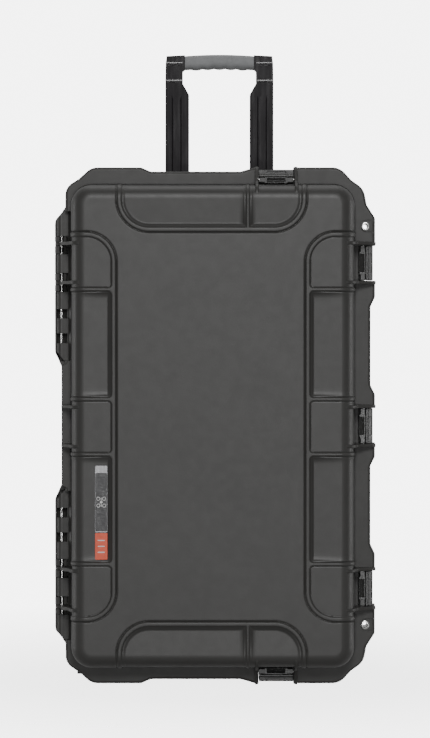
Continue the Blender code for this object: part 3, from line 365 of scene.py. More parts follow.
def turned(name, centre, axis, profile, count=64):
    """Turns a closed profile of (along, radius) points about an axis."""
    rings = []
    for a, b in circle(1.0, count):
        rings.append([off_axis(centre, axis, a * radius, b * radius, along) for along, radius in profile])
    return loft(name, rings, closed=True)


def rod(name, centre, axis, low, high, radius, count=40):
    ends = [[off_axis(centre, axis, a, b, along) for a, b in circle(radius, count)] for along in (low, high)]
    return loft(name, ends)


def rounded(corners, steps=6):
    """An outline whose corners, each (x, z, radius), are rounded with arcs."""
    outline = []
    for i, (x, z, radius) in enumerate(corners):
        if not radius:
            outline.append((x, z))
            continue
        here = Vector((x, z))
        back = Vector(corners[i - 1][:2]) - here
        ahead = Vector(corners[(i + 1) % len(corners)][:2]) - here
        half = back.angle(ahead) / 2
        cut_back = min(radius / math.tan(half), 0.48 * back.length, 0.48 * ahead.length)
        start, end = here + back.normalized() * cut_back, here + ahead.normalized() * cut_back
        centre = here + (back.normalized() + ahead.normalized()).normalized() * (cut_back / math.cos(half))
        reach = (start - centre).length
        for k in range(steps + 1):
            spoke = (start - centre).slerp(end - centre, k / steps).normalized() * reach
            outline.append(tuple(centre + spoke))
    return outline


def rounded_box(half_x, half_z, radius, centre, steps=8):
    x, z = centre
    right, left, low, high = x + half_x, x - half_x, z - half_z, z + half_z
    corners = ((right, low), (right, high), (left, high), (left, low))
    return rounded([(*corner, radius) for corner in corners], steps)


def body_outline(inset, corner=BODY_CORNER):
    centre = (BODY_X, MID_Z)
    return rounded_box(BODY_HALF_X - inset, BODY_HALF_Z - inset, max(corner - inset, 3.0), centre)


def combine(target, others, operation):
    for other in others:
        modifier = target.modifiers.new(operation, "BOOLEAN")
        modifier.operation = operation
        modifier.object = other
        graph = bpy.context.evaluated_depsgraph_get()
        result = bpy.data.meshes.new_from_object(target.evaluated_get(graph))
        target.modifiers.clear()
        target.data = result
        bpy.data.objects.remove(other)
    return target


def union(target, *others):
    return combine(target, others, "UNION")


def cut(target, *others):
    return combine(target, others, "DIFFERENCE")


def soften(obj, width, segments=2, angle=35.0):
    """Rounds the sharp edges, and shades what is between them smoothly."""
    flat = obj.modifiers.new("flat", "DECIMATE")
    flat.decimate_type = "DISSOLVE"
    flat.angle_limit = math.radians(1.0)
    bevel = obj.modifiers.new("bevel", "BEVEL")
    bevel.width = width * MM
    bevel.segments = segments
    bevel.limit_method = "ANGLE"
    bevel.angle_limit = math.radians(angle)
    bevel.miter_outer = "MITER_ARC"
    obj.data.shade_smooth()
    return weigh(obj)


def smooth(obj, angle=35.0):
    obj.data.shade_smooth()
    obj.data.set_sharp_from_angle(angle=math.radians(angle))
    return obj


def weigh(obj):
    """Keeps big faces flat where they meet rounded edges."""
    obj.modifiers.new("weighted", "WEIGHTED_NORMAL").keep_sharp = True
    return obj


def dress(obj, paint, body, *nodes, slot=None):
    """Gives a piece its material and its body, and hides the CAD nodes that it stands for."""
    obj.data.materials.clear()
    obj.data.materials.append(PAINTS[paint].material)
    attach(obj, body)
    if nodes:
        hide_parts(*nodes)
    return obj


def repaint(node, paint, width=0.0, segments=2):
    """Keeps a CAD node's shape, with a finished material and rounded edges."""
    obj = frame["nodes"][node]
    obj.data.materials.clear()
    obj.data.materials.append(PAINTS[paint].material)
    if width:
        soften(obj, width, segments)
    else:
        smooth(obj)
    return obj


# ---- places on the four sides
class Side:
    """A side of the case. A point on it is (u along the side, out from the rims' edge, y)."""

    WALLS = {
        "right": (BODY_X + BODY_HALF_X, EDGE_X),
        "left": (LEFT_WALL_X, -EDGE_X),
        "top": (MID_Z + BODY_HALF_Z, CASE_HEIGHT),
        "bottom": (MID_Z - BODY_HALF_Z, 0.0),
    }

    def __init__(self, name, mid):
        self.name, self.mid = name, mid
        wall, self.edge = self.WALLS[name]
        self.wall = -abs(self.edge - wall)

    def point(self, u, out, y):
        if self.name == "right":
            return (self.edge + out, y, self.mid + u)
        if self.name == "left":
            return (self.edge - out, y, self.mid + u)
        if self.name == "top":
            return (self.mid + u, y, self.edge + out)
        return (self.mid + u, y, self.edge - out)

    def prism(self, name, profile, u_low, u_high):
        return loft(name, [[self.point(u, out, y) for out, y in profile] for u in (u_low, u_high)])

    def box(self, name, u, out, y):
        return self.prism(name, [(out[0], y[0]), (out[1], y[0]), (out[1], y[1]), (out[0], y[1])], *u)

    def pin(self, name, out, y, radius, u_low, u_high, count=40):
        return self.prism(name, [(out + a, y + b) for a, b in circle(radius, count)], u_low, u_high)

    def plate(self, name, outline, out_low, out_high):
        """An outline of (u, y) points, thick along out."""
        return loft(name, [[self.point(u, out, y) for u, y in outline] for out in (out_low, out_high)])

    def front(self, name, outline, y_low, y_high):
        """An outline of (u, out) points, thick along Y."""
        return loft(name, [[self.point(u, out, y) for u, out in outline] for y in (y_low, y_high)])


def latch_sides():
    found = {}
    for label, offset in zip(("upper", "middle", "lower"), SIDE_LATCH_OFFSETS):
        found["side_" + label] = Side("right", MID_Z + offset)
    found["top"] = Side("top", END_LATCH_X)
    found["bottom"] = Side("bottom", END_LATCH_X)
    return found


# ---- the lid's moulded face
def corner_box(u, v, low_u, high_u, low_v, high_v, outer, inner):
    """Signed distance to a box. Its corners are rounded by outer above its middle and inner below it."""
    du, dv = u - (low_u + high_u) / 2, v - (low_v + high_v) / 2
    radius = np.where(dv > 0, outer, inner)
    qu = np.abs(du) - (high_u - low_u) / 2 + radius
    qv = np.abs(dv) - (high_v - low_v) / 2 + radius
    return np.minimum(np.maximum(qu, qv), 0) + np.hypot(np.maximum(qu, 0), np.maximum(qv, 0)) - radius


def ease(t):
    t = np.clip(t, 0, 1)
    return t * t * (3 - 2 * t)


def beaded(inside, panels, inner_side):
    """Height of a group of sunk panels with rounded beads round them.

    inside is the depth into the group, panels lists each panel's signed distance and how deep it is, and
    inner_side is the distance from the group's inner edge, along which the panels are deepest.
    """
    nearest = np.minimum.reduce([panel[0] for panel in panels])
    shoulder = np.clip(np.minimum(inside, nearest) / 2.8, 0, 1)
    height = BEAD_HEIGHT * np.sqrt(1 - (1 - shoulder) ** 2)
    height -= LINE_DEPTH * np.exp(-((inside / LINE_HALF) ** 2))
    height -= CREASE * np.exp(-((nearest / LINE_HALF) ** 2)) * (inside > 0) * (nearest > 0)
    for distance, depth in panels:
        deep = np.clip(1 - (inner_side - BEAD) / 55.0, 0, 1) * (depth > SHALLOW)
        crease = CREASE * np.maximum(np.exp(-((distance / LINE_HALF) ** 2)), deep)
        drop = SHALLOW + (depth - SHALLOW - CREASE) * deep
        height -= crease * (distance <= 0) + drop * ease(-distance / (1.4 + depth))
    return height


def side_group(u, v):
    """One long side's panels, with u measured from the plateau's edge, negative away from it."""
    away = np.abs(v)
    inside = -corner_box(u, away, -FAR_OUT, 0.0, -GROUP_HALF_Z, GROUP_HALF_Z, SIDE_ROUND, SIDE_ROUND)
    limits = [GROUP_HALF_Z - BEAD]
    for bead in SIDE_CROSS_BEADS:
        limits += [bead + CROSS_BEAD_HALF, bead - CROSS_BEAD_HALF]
    panels = []
    for high, low, depth in ((limits[0], limits[1], SHALLOW), (limits[2], limits[3], DEEP)):
        outer = SIDE_ROUND - BEAD if depth == SHALLOW else PANEL_CORNER
        panels.append((corner_box(u, away, -FAR_OUT, -BEAD, low, high, outer, PANEL_CORNER), depth))
    middle_box = corner_box(u, v, -FAR_OUT, -BEAD, -limits[4], limits[4], PANEL_CORNER, PANEL_CORNER)
    panels.append((middle_box, SHALLOW))
    return beaded(inside, panels, -u)


def end_group(u, v):
    """The panels at an end, with v positive towards that end."""
    left, right = PLATEAU_LEFT, PLATEAU_RIGHT + 3.0
    top = END_LINE_Z + FAR_OUT
    inside = -corner_box(u, v, left, right, END_LINE_Z, top, 1.0, END_ROUND)
    low = END_LINE_Z + BEAD
    whole = corner_box(u, v, left + BEAD, right - BEAD, low, top, 1.0, END_ROUND - BEAD)
    split_left = u - (END_CROSS_BEAD - CROSS_BEAD_HALF)
    split_right = (END_CROSS_BEAD + CROSS_BEAD_HALF) - u
    panels = [(np.maximum(whole, split_left), DEEP), (np.maximum(whole, split_right), DEEP)]
    return beaded(inside, panels, v - END_LINE_Z)


def lid_height(u, v):
    """How far the lid's surface stands out of its plain rounded box, over the unrolled face and walls."""
    height = np.where(u < PLATEAU_X, side_group(u - PLATEAU_LEFT, v), side_group(PLATEAU_RIGHT - u, v))
    ends = np.abs(v) > END_LINE_Z - 6.0
    between = (u > PLATEAU_LEFT - 6.0) & (u < PLATEAU_RIGHT + 9.0)
    return np.where(ends & between, end_group(u, np.abs(v)), height)


def on_lid(u, v, height):
    """Points and outward normals of the lid's rounded box, at unrolled places."""
    eu = np.maximum(np.abs(u) - FLAT_X, 0)
    ev = np.maximum(np.abs(v) - FLAT_Z, 0)
    far = np.maximum(eu, ev)
    safe = np.maximum(far, 1e-6)
    theta = np.where(eu >= ev, ev / safe * math.pi / 4, math.pi / 2 - eu / safe * math.pi / 4)
    bend = np.clip((far - FACE_CORNER) / FACE_ROUND, 0, math.pi / 2)
    down = np.maximum(far - FACE_CORNER - FACE_ROUND * math.pi / 2, 0)
    plan = np.minimum(far, FACE_CORNER) + FACE_ROUND * np.sin(bend) + down * WALL_SLOPE
    y = FRONT_Y + FACE_ROUND * (1 - np.cos(bend)) + down
    off_flat = eu + ev > 0
    way_u, way_v = np.cos(theta) * np.sign(u) * off_flat, np.sin(theta) * np.sign(v) * off_flat
    x = BODY_X + np.clip(u, -FLAT_X, FLAT_X) + plan * way_u
    z = MID_Z + np.clip(v, -FLAT_Z, FLAT_Z) + plan * way_v
    normal = np.stack([np.sin(bend) * way_u, -np.cos(bend), np.sin(bend) * way_v], -1)
    return np.stack([x, y, z], -1) + normal * height[..., None], (way_u, way_v)


def grid_lines(reach, fine_spans, fine, coarse):
    """Grid lines from -reach to reach, close together inside the fine spans."""
    marks = {-reach, reach, *(x for span in fine_spans for x in span)}
    marks = sorted(x for x in marks if abs(x) <= reach)
    lines = []
    for low, high in zip(marks, marks[1:]):
        inside = any(a <= low and high <= b for a, b in fine_spans)
        count = max(1, math.ceil((high - low) / (fine if inside else coarse)))
        lines += [low + (high - low) * i / count for i in range(count)]
    return np.array([*lines, reach])


def edge_of(grid):
    """What lies round a grid's edge, in order."""
    return np.array([*grid[:-1, 0], *grid[-1, :-1], *grid[:0:-1, -1], *grid[0, :0:-1]])


def hang_rings(top, rings):
    """Points and faces of a grid with rings hung from its edge one after another, and the last ring."""
    index = np.arange(top.shape[0] * top.shape[1]).reshape(top.shape[:2])
    quads = np.stack([index[:-1, :-1], index[1:, :-1], index[1:, 1:], index[:-1, 1:]], -1).reshape(-1, 4)
    cloud, faces = [top.reshape(-1, 3)], quads.tolist()
    last, start = edge_of(index), index.size
    for ring in rings:
        here = np.arange(start, start + len(ring))
        faces += np.stack([last, np.roll(last, -1), np.roll(here, -1), here], -1).tolist()
        cloud.append(ring)
        last, start = here, start + len(ring)
    return cloud, faces, last


def make_lid_face():
    reach = FACE_CORNER + FACE_ROUND * math.pi / 2 + WALL_LENGTH
    fine = FINE_GRID
    columns = [(PLATEAU_LEFT - BEAD - 48.0, PLATEAU_LEFT + 58.0)]
    columns.append((PLATEAU_RIGHT - 58.0, PLATEAU_RIGHT + BEAD + 48.0))
    columns.append((END_CROSS_BEAD - 8.0, END_CROSS_BEAD + 8.0))
    rows = [(sign * z - 7.5, sign * z + 7.5) for sign in (-1, 1) for z in SIDE_CROSS_BEADS]
    row_end, row_start = 358.0, GROUP_HALF_Z - SIDE_ROUND - 12.0
    rows += [(-row_end, -row_start), (row_start, row_end)]
    us = grid_lines(FLAT_X + reach, columns, fine, COARSE_GRID)
    vs = grid_lines(FLAT_Z + reach, rows, fine, COARSE_GRID)
    u, v = np.meshgrid(us, vs, indexing="ij")
    top = on_lid(u, v, lid_height(u, v))[0]
    plain, ways = on_lid(u, v, np.zeros_like(u))
    rim, way_x, way_z = edge_of(plain), edge_of(ways[0]), edge_of(ways[1])
    back_y = FRONT_Y + 7.5
    rings = []
    for y, inset in ((-78.0, WALL), (-128.0, WALL + DRAFT), (-138.0, 10.0), (back_y, 21.0)):
        x, z = rim[:, 0] - way_x * inset, rim[:, 2] - way_z * inset
        rings.append(np.stack([x, np.full_like(x, y), z], -1))
    cloud, faces, last = hang_rings(top, rings)
    cloud.append(np.array([[BODY_X, back_y, MID_Z]]))
    faces += [(int(a), int(b), int(last[-1]) + 1) for a, b in zip(last, np.roll(last, -1))]
    return smooth(add_object("lid_face", np.concatenate(cloud), faces), 60.0)


# ---- the lid's rim, ribs and hinge barrels
def rim_outline(inset):
    right, left = EDGE_X - inset, -231.0 + inset
    shallow, high = right - 7.0, MID_Z - inset
    low = high - 6.5
    upper = [(right, 48.0, 8.0), (shallow, 62.0, 8.0), (shallow, 183.0, 8.0), (right, 198.0, 8.0)]
    upper += [(right, 319.5, 10.0), (234.2 - inset, 339.5, 4.0), (229.4 - inset, 364.5, 26.0)]
    upper += [(209.5, 378.6 - inset, 4.0), (192.0, high, 26.0), (62.0, high, 8.0), (39.0, low, 8.0)]
    upper += [(-99.0, low, 8.0), (-114.0, high, 8.0), (-190.0, high, 24.0), (-209.0, 380.7 - inset, 4.0)]
    upper += [(left, 366.5, 26.0), (left, 96.0, 3.0), (-236.0, 91.0, 3.0)]
    lower = [(x, -z, radius) for x, z, radius in reversed(upper)]
    return rounded([(x, MID_Z + z, radius) for x, z, radius in upper + lower])


def round_tongue(left, right, z, half, radius):
    """A strip with a round left end."""
    low, high = z - half, z + half
    return rounded([(right, low, 1.0), (right, high, 1.0), (left, high, radius), (left, low, radius)])


def body_ring(name, corners, *corner):
    """A ring that follows the body's outline. Its section's corners are (out from the outline, y)."""
    return loft(name, [along_y(body_outline(-out, *corner), y) for out, y in corners], closed=True)


def make_lid_rim():
    edge = 0.8
    sections = [(LID_BACK_Y, edge), (-87.0, edge)]
    sections += [(LID_RIM_FRONT_Y + drop, edge + inset) for drop, inset in ROLLED_EDGE]
    rim = loft("lid_rim", [along_y(rim_outline(inset), y) for y, inset in sections])
    for sign in (1, -1):
        low, high = sorted(MID_Z + sign * reach for reach in HINGE_REACH)
        cut(rim, block("step", (-260.0, -130.0, low), (LEFT_WALL_X - 0.5, -60.0, high)))
    for place in latch_sides().values():
        span = (-NOTCH_HALF, NOTCH_HALF)
        cut(rim, place.box("notch", span, (place.wall + 1.5, 30.0), (-130.0, -79.5)))
        cut(rim, place.box("notch", span, (place.wall + 7.0, 30.0), (-130.0, -60.0)))
    cut(rim, slab("inside", body_outline(WALL - 0.1), -130.0, -60.0))
    cut(rim, body_ring("seal_groove", [(0.3, -76.4), (5.7, -76.4), (5.7, -60.0), (0.3, -60.0)]))
    joint_front, joint_back = LID_RIM_FRONT_Y - 3.0, LID_RIM_FRONT_Y + 2.0
    joint = [(-0.6, joint_front), (1.9, joint_front), (1.3, joint_back), (-0.6, joint_back)]
    cut(rim, body_ring("joint", joint, FACE_CORNER + FACE_ROUND + DRAFT))
    for sign in (-1, 1):
        z = MID_Z + sign * (PADLOCK.z - MID_Z)
        cut(rim, rod("hole", (PADLOCK.x, z), 1, -120.0, -60.0, 5.9))
        boss = round_tongue(PADLOCK.x - 9.0, EDGE_X + 9.0, z, 9.9, 9.0)
        hollow = round_tongue(PADLOCK.x - 7.0, EDGE_X + 20.0, z, 7.9, 7.0)
        line = slab("line", boss, -95.0, LID_RIM_FRONT_Y + 1.8)
        cut(rim, cut(line, slab("hollow", hollow, -99.0, -85.0)))
    return weigh(smooth(rim))


def fin_profile(wall):
    """A rib's side view: from the rim's edge up the lid's wall, and over its round until it fades away."""
    profile = [(0.0, LID_BACK_Y), (0.0, -95.0), (-1.2, -98.5), (-6.0, -103.0), (wall + 4.5, -116.0)]
    sunk, full = -1.4, 2.8
    for degrees in (90, 78, 66, 54, 44, 36, 30, 25):
        a = math.radians(degrees)
        stand = sunk + (full - sunk) * min(1.0, (degrees - 25.0) / 35.0)
        out = wall - DRAFT - FACE_ROUND * (1 - math.sin(a)) + stand * math.sin(a)
        profile.append((out, FRONT_Y + FACE_ROUND * (1 - math.cos(a)) - stand * math.cos(a)))
    profile += [(wall - 24.0, -146.0), (wall - 8.0, -126.0), (wall - 2.0, LID_BACK_Y)]
    return profile


def make_lid_ribs():
    """Ribs beside the latches, and their twins on the hinge side, which end in discs round the pin."""
    made = []
    for place in latch_sides().values():
        for u in (-FIN_OFFSET, FIN_OFFSET):
            made.append(place.prism("rib", fin_profile(place.wall), u - FIN_HALF, u + FIN_HALF))
    pin_out, disc_r = -(EDGE_X + HINGE_X), 10.2
    for offset in SIDE_LATCH_OFFSETS:
        place = Side("left", MID_Z + offset)
        for u in (-FIN_OFFSET, FIN_OFFSET):
            thick = (u - FIN_HALF, u + FIN_HALF)
            profile = [(min(out, pin_out if offset else -11.0), y) for out, y in fin_profile(place.wall)]
            profile = [p for i, p in enumerate(profile) if p not in profile[:i]]
            rib = place.prism("rib", profile, *thick)
            if offset:
                union(rib, place.pin("disc", pin_out, PARTING_Y, disc_r, *thick))
            made.append(rib)
    return [dress(soften(rib, 1.3, 3), "rim", "lid", "lid_shell", slot="shell") for rib in made]


def hinge_spans():
    spans = []
    top = HINGE_REACH[1]
    for low, high in WINDOWS:
        spans.append((high, top))
        top = low
    spans.append((HINGE_REACH[0], top))
    return spans


def make_barrels():
    """Round barrels on the hinge line, let into a web along the lid's wall. Both ends slope to the wall."""
    web_end, web_start = LEFT_WALL_X + 2.0, HINGE_X + 9.5
    bore_r = 2.9
    for sign in (1, -1):
        ends = sorted(MID_Z + sign * reach for reach in HINGE_REACH)
        profile = [(web_start, PARTING_Y - 4.0), (web_start, LID_BACK_Y), (web_end, LID_BACK_Y)]
        profile += [(web_end, PARTING_Y - 13.0), (web_end - 4.5, PARTING_Y - 7.0)]
        profile.append((web_start + 2.0, PARTING_Y - 5.5))
        hinge = loft("hinge_barrel", [[(x, y, z) for x, y in profile] for z in ends])
        profile = [(HINGE_X, PARTING_Y - BARREL_R), (HINGE_X, LID_BACK_Y)]
        profile += [(web_start + 1.0, LID_BACK_Y), (web_start + 1.0, PARTING_Y - 5.6)]
        for span in hinge_spans():
            low, high = sorted(MID_Z + sign * z for z in span)
            barrel = rod("barrel", (HINGE_X, PARTING_Y), 2, low, high, BARREL_R)
            union(barrel, loft("web", [[(x, y, z) for x, y in profile] for z in (low, high)]))
            cut(barrel, rod("bore", (HINGE_X, PARTING_Y), 2, low - 5.0, high + 5.0, bore_r, 24))
            union(hinge, barrel)
        for start, lean in ((HINGE_REACH[1] - 13.0, 1.0), (HINGE_REACH[0] + 15.0, -1.2)):
            wedge = [(-270.0, -25.0), (-270.0, 60.0), (-195.0, 60.0), (-195.0, 50.0)]
            slope = [(x, MID_Z + sign * (start + rise * lean)) for x, rise in wedge]
            cut(hinge, slab("slope", slope, -100.0, -60.0))
        dress(soften(hinge, 0.9), "shell", "lid", "lid_shell", slot="shell")


# ---- latches
def make_latch(name, place):
    """A lever bored for its pivot pin, with a slotted outer plate, an inner tab and a gripping lip."""
    half = LATCH_HALF
    plate = [(-4.4, -91.5), (-4.4, -39.5), (-7.5, -37.0), (-15.0, -38.5), (-15.2, -43.5), (-12.0, -46.0)]
    plate += [(-12.0, -78.0), (-15.0, -81.0), (-20.0, -83.5), (-25.2, -87.0), (-25.2, -92.2), (-23.2, -94.2)]
    plate += [(-16.8, -94.2), (-16.0, -96.4)]
    plate += [(-14.8, -97.4), (-13.0, -97.4), (-11.8, -96.4), (-11.0, -94.0), (-5.8, -94.0)]
    lever = place.prism("latch_lever_" + name, plate, -half, half)
    tab = [(-26.4, -93.6), (-26.4, -88.0), (-22.0, -84.0), (-18.0, -84.0), (-16.0, -95.8), (-25.0, -95.8)]
    union(lever, place.prism("tab", tab, -TAB_HALF, TAB_HALF))
    for sign in (-1, 1):
        corner = [(sign * (half + 1.0), -30.0), (sign * (half + 1.0), -47.0), (sign * (half - 8.0), -30.0)]
        cut(lever, place.plate("corner", corner, -18.0, 0.0))
    slot_front = [(-15.5, -9.6), (15.5, -9.6), (13.5, -6.2), (-13.5, -6.2)]
    cut(lever, place.front("slot", slot_front, -100.0, -89.0))
    tab_slot = [(-24.6, -100.0), (-24.6, -95.2), (-21.0, -92.8), (-17.6, -95.2), (-17.6, -100.0)]
    cut(lever, place.prism("slot", tab_slot, -14.0, 14.0))
    cut(lever, place.box("pocket", (-12.2, 12.2), (-8.6, 5.0), (-72.2, -48.8)))
    cut(lever, place.pin("bore", -PIVOT_IN, PIVOT_Y, 2.5, -40.0, 40.0, 24))
    for y in (-84.0, -80.5, -77.0):
        cut(lever, place.box("groove", (-17.0, 17.0), (-5.7, 5.0), (y - 0.7, y + 0.7)))
    dress(soften(lever, 0.7), "latch", "latch_" + name, "latch_" + name, slot="moulding")
    lock = place.box("latch_button_" + name, (-11.6, 11.6), (-8.2, -5.0), (-66.5, -49.5))
    for y in (-62.0, -58.0, -54.0):
        union(lock, place.box("ridge", (-8.0, 8.0), (-6.0, -4.2), (y - 0.8, y + 0.8)))
    dress(soften(lock, 0.4), "gloss", "latch_lock_" + name, "latch_lock_" + name, slot="gloss_moulding")
    repaint("latch_pin_" + name, "steel")


# ---- pull handle
def mirrored(points, sign):
    return [(HANDLE_X + sign * x, *rest) for x, *rest in points]


def leg_outline(sign, inset):
    right, left, high = LEG_OUT - inset, LEG_IN + inset, LEG_HIGH.z - 0.2 * inset
    corners = [(right, LEG_LOW.z, 0.0), (right, high, 0.0), (NECK_IN + inset, high, 0.0)]
    corners += [(NECK_IN + inset, high - 2.0, 3.0), (left, SHOULDER_Z, 6.0), (left, LEG_LOW.z, 0.0)]
    return rounded(mirrored(corners, sign))


def make_handle_leg(label, sign):
    """A leg with rolled edges and a sloping groove in its front and back."""
    front, back = LEG_LOW.y, LEG_HIGH.y
    sections = [(front, 2.4), (front + 0.7, 1.0), (front + 2.2, 0.0)]
    sections += [(back - 2.2, 0.0), (back - 0.7, 1.0), (back, 2.4)]
    leg = loft("handle_leg_" + label, [along_y(leg_outline(sign, inset), y) for y, inset in sections])
    for y, inward in ((front, GROOVE_DEPTH), (back, -GROOVE_DEPTH)):
        mouth = (y - 0.3 * inward, SHOULDER_Z + 1.0, 11.3, 28.2)
        floor = (y + inward, SHOULDER_Z - 7.0, 14.0, 25.5)
        rings = []
        for y_at, top, left, right in (mouth, floor):
            a, b = (HANDLE_X + sign * (LEG_IN + x) for x in (left, right))
            rings.append(along_y([(a, GROOVE_LOW_Z), (b, GROOVE_LOW_Z), (b, top), (a, top)], y_at))
        cut(leg, loft("groove", rings))
    dress(weigh(smooth(leg)), "gloss", "pull_handle", "pull_handle_leg_" + label, slot="gloss_moulding")


def make_handle_neck(label, sign):
    """The end of the handle above a leg, with a window in its front and back and light seams."""
    front, back, low, high = YOKE_LOW.y, YOKE_HIGH.y, YOKE_LOW.z, YOKE_HIGH.z
    outline = [(LEG_OUT, low, 0.0), (LEG_OUT - 0.5, high - 14.0, 0.0), (LEG_OUT - 2.0, high - 1.5, 0.0)]
    outline += [(GRIP_HALF.x + 0.1, high, 0.0), (GRIP_HALF.x + 0.1, high - 23.0, 0.0)]
    outline += [(NECK_IN, high - 26.0, 0.0), (NECK_IN, low, 0.0)]
    neck = slab("handle_neck_" + label, rounded(mirrored(outline, sign)), front, back)
    inner, outer, top = NECK_IN + 4.0, LEG_OUT - 4.5, high - 16.0
    window = [(outer, low + 6.0, 2.0), (outer, top, 2.0), (inner, top, 2.0), (inner, low + 6.0, 2.0)]
    for y in (front, back):
        cut(neck, slab("window", rounded(mirrored(window, sign)), y - 2.6, y + 2.6))
    ends = sorted(HANDLE_X + sign * x for x in (NECK_IN + 0.6, LEG_OUT - 0.6))
    for z in (low + 2.4, top + 3.6):
        for y in (front + 1.9, back - 1.9):
            union(neck, rod("seam", (y, z), 0, *ends, 2.2, 20))
    dress(soften(neck, 1.3, 3), "gloss", "pull_handle", "pull_handle_yoke", slot="gloss_moulding")


def make_pull_handle():
    for make in (make_handle_leg, make_handle_neck):
        make("left", -1)
        make("right", 1)
    half_x, half_y, high = 75.0, 7.0, YOKE_HIGH.z
    low_corner = (HANDLE_X - half_x, GRIP_MIDDLE.y - half_y, high - 17.5)
    bar = block("handle_bar", low_corner, (HANDLE_X + half_x, GRIP_MIDDLE.y + half_y, high - 4.5))
    dress(soften(bar, 1.0), "gloss", "pull_handle", "pull_handle_yoke", slot="gloss_moulding")
    make_pull_grip()


def make_pull_grip():
    """The soft sleeve: arched on top, with finger scallops underneath."""
    rings = []
    steps, scallops, scalloped, power = 72, 5, 0.82, 2.6
    for i in range(steps + 1):
        share = -1 + 2 * i / steps
        arch = 2.2 * (1 - share * share)
        wave = 0.0
        if abs(share) < scalloped:
            wave = abs(math.sin(math.pi * (share / scalloped + 1) / 2 * scallops))
        pinch = 0.97 if abs(share) > 0.985 else 1.0
        ring = []
        for a, b in circle(1.0, 40):
            square = 1 / (abs(a) ** power + abs(b) ** power) ** (1 / power)
            y = GRIP_MIDDLE.y + GRIP_HALF.y * a * square * pinch
            z = GRIP_MIDDLE.z - 1.6 + GRIP_HALF.z * 0.9 * b * square * pinch + arch
            if b < 0:
                z += 1.7 * (1 - wave) * -b
            ring.append((HANDLE_X + share * GRIP_HALF.x, y, z))
        rings.append(ring)
    grip = smooth(loft("handle_sleeve", rings), 50.0)
    dress(grip, "grip", "pull_handle", "pull_handle_grip", slot="grip")


# ---- wheels
def make_wheel(label):
    mid, size = middle("tyre_" + label), half_size("tyre_" + label)
    centre, half, radius = (mid.y, mid.z), size.x, size.z
    inner, gap = radius - 11.0, 0.3
    profile = [(-half, inner + gap), (-half, inner + 3.0), (-half + 0.8, inner + 3.8)]
    profile += [(-half + 0.2, inner + 5.0), (-half + 0.4, radius - 5.5), (-half + 1.6, radius - 2.8)]
    profile += [(-half + 4.0, radius - 0.9)]
    profile += [(-half + 6.5, radius - 0.2), (-half + 7.0, radius - 1.3), (-half + 8.0, radius - 1.3)]
    profile += [(-half + 8.5, radius), (-1.2, radius), (-0.8, radius - 1.2), (0.0, radius - 1.2)]
    profile += [(-x, r) for x, r in reversed(profile[:-1])]
    tyre = turned("wheel_tyre_" + label, centre, 0, [(mid.x + x, r) for x, r in profile], 96)
    dress(smooth(tyre, 28.0), "tyre", "wheel_" + label, "tyre_" + label, slot="tyre")
    edge = half - 1.0
    hub = [(-edge, 11.3), (-edge, 15.5), (-edge + 1.2, 16.5), (-edge + 6.0, 18.0), (-edge + 6.0, 27.0)]
    hub += [(-edge + 1.2, 29.5), (-edge, 30.3), (-edge, inner)]
    hub += [(-x, r) for x, r in reversed(hub)]
    disc = turned("wheel_centre_" + label, centre, 0, [(mid.x + x, r) for x, r in hub], 72)
    for a, b in circle(22.4, 6):
        cut(disc, rod("hole", (mid.y + a, mid.z + b), 0, mid.x - half - 2.0, mid.x + half + 2.0, 3.6, 24))
    dress(soften(disc, 0.5), "moulding", "wheel_" + label, "wheel_hub_" + label, slot="moulding")
    for place in ("inner", "outer"):
        repaint(f"wheel_bearing_{label}_{place}", "steel", 0.4)
    repaint("wheel_axle_" + label, "steel", 0.6)


# ---- carry handles
def make_carry_grip(name):
    """A soft sleeve with fine ribs round the folding handle's bar."""
    half, centre = half_size(name + "_handle_grip"), middle(name + "_handle_grip")
    axis = 0 if half.x > half.z else 2
    other = 2 - axis
    steps, count = 120, 32
    rings = []
    for i in range(steps + 1):
        share = -1 + 2 * i / steps
        ribbed = abs(share) < 0.8
        swell = 1.0 - 0.06 * share * share - (0.025 * (1 + math.cos(share * 75.0)) if ribbed else 0.0)
        swell -= 0.12 if abs(share) > 0.985 else 0.0
        ring = []
        for a, b in circle(1.0, count):
            point = [0.0, centre.y + half.y * a * swell, 0.0]
            point[axis] = centre[axis] + share * half[axis]
            point[other] = centre[other] + half[other] * b * swell
            ring.append(tuple(point))
        rings.append(ring)
    sleeve = smooth(loft(name + "_handle_sleeve", rings), 50.0)
    dress(sleeve, "seal", name + "_handle", name + "_handle_grip", slot="grip")
    repaint(name + "_handle_frame", "moulding", 1.6, 3)
    for end in ("a", "b"):
        repaint(f"{name}_handle_pin_{end}", "steel", 0.4)


# ---- foam, seal and plates
def make_foam():
    for node in ("foam_pocket_layer", "foam_floor_pad"):
        copy = frame["nodes"][node].copy()
        copy.data = copy.data.copy()
        copy.name = node + "_soft"
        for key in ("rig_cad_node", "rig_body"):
            del copy[key]
        copy.parent = None
        link(copy)
        soften(copy, 2.4, 3)
        dress(copy, "foam", "base", node, slot="foam")
    make_lid_foam()


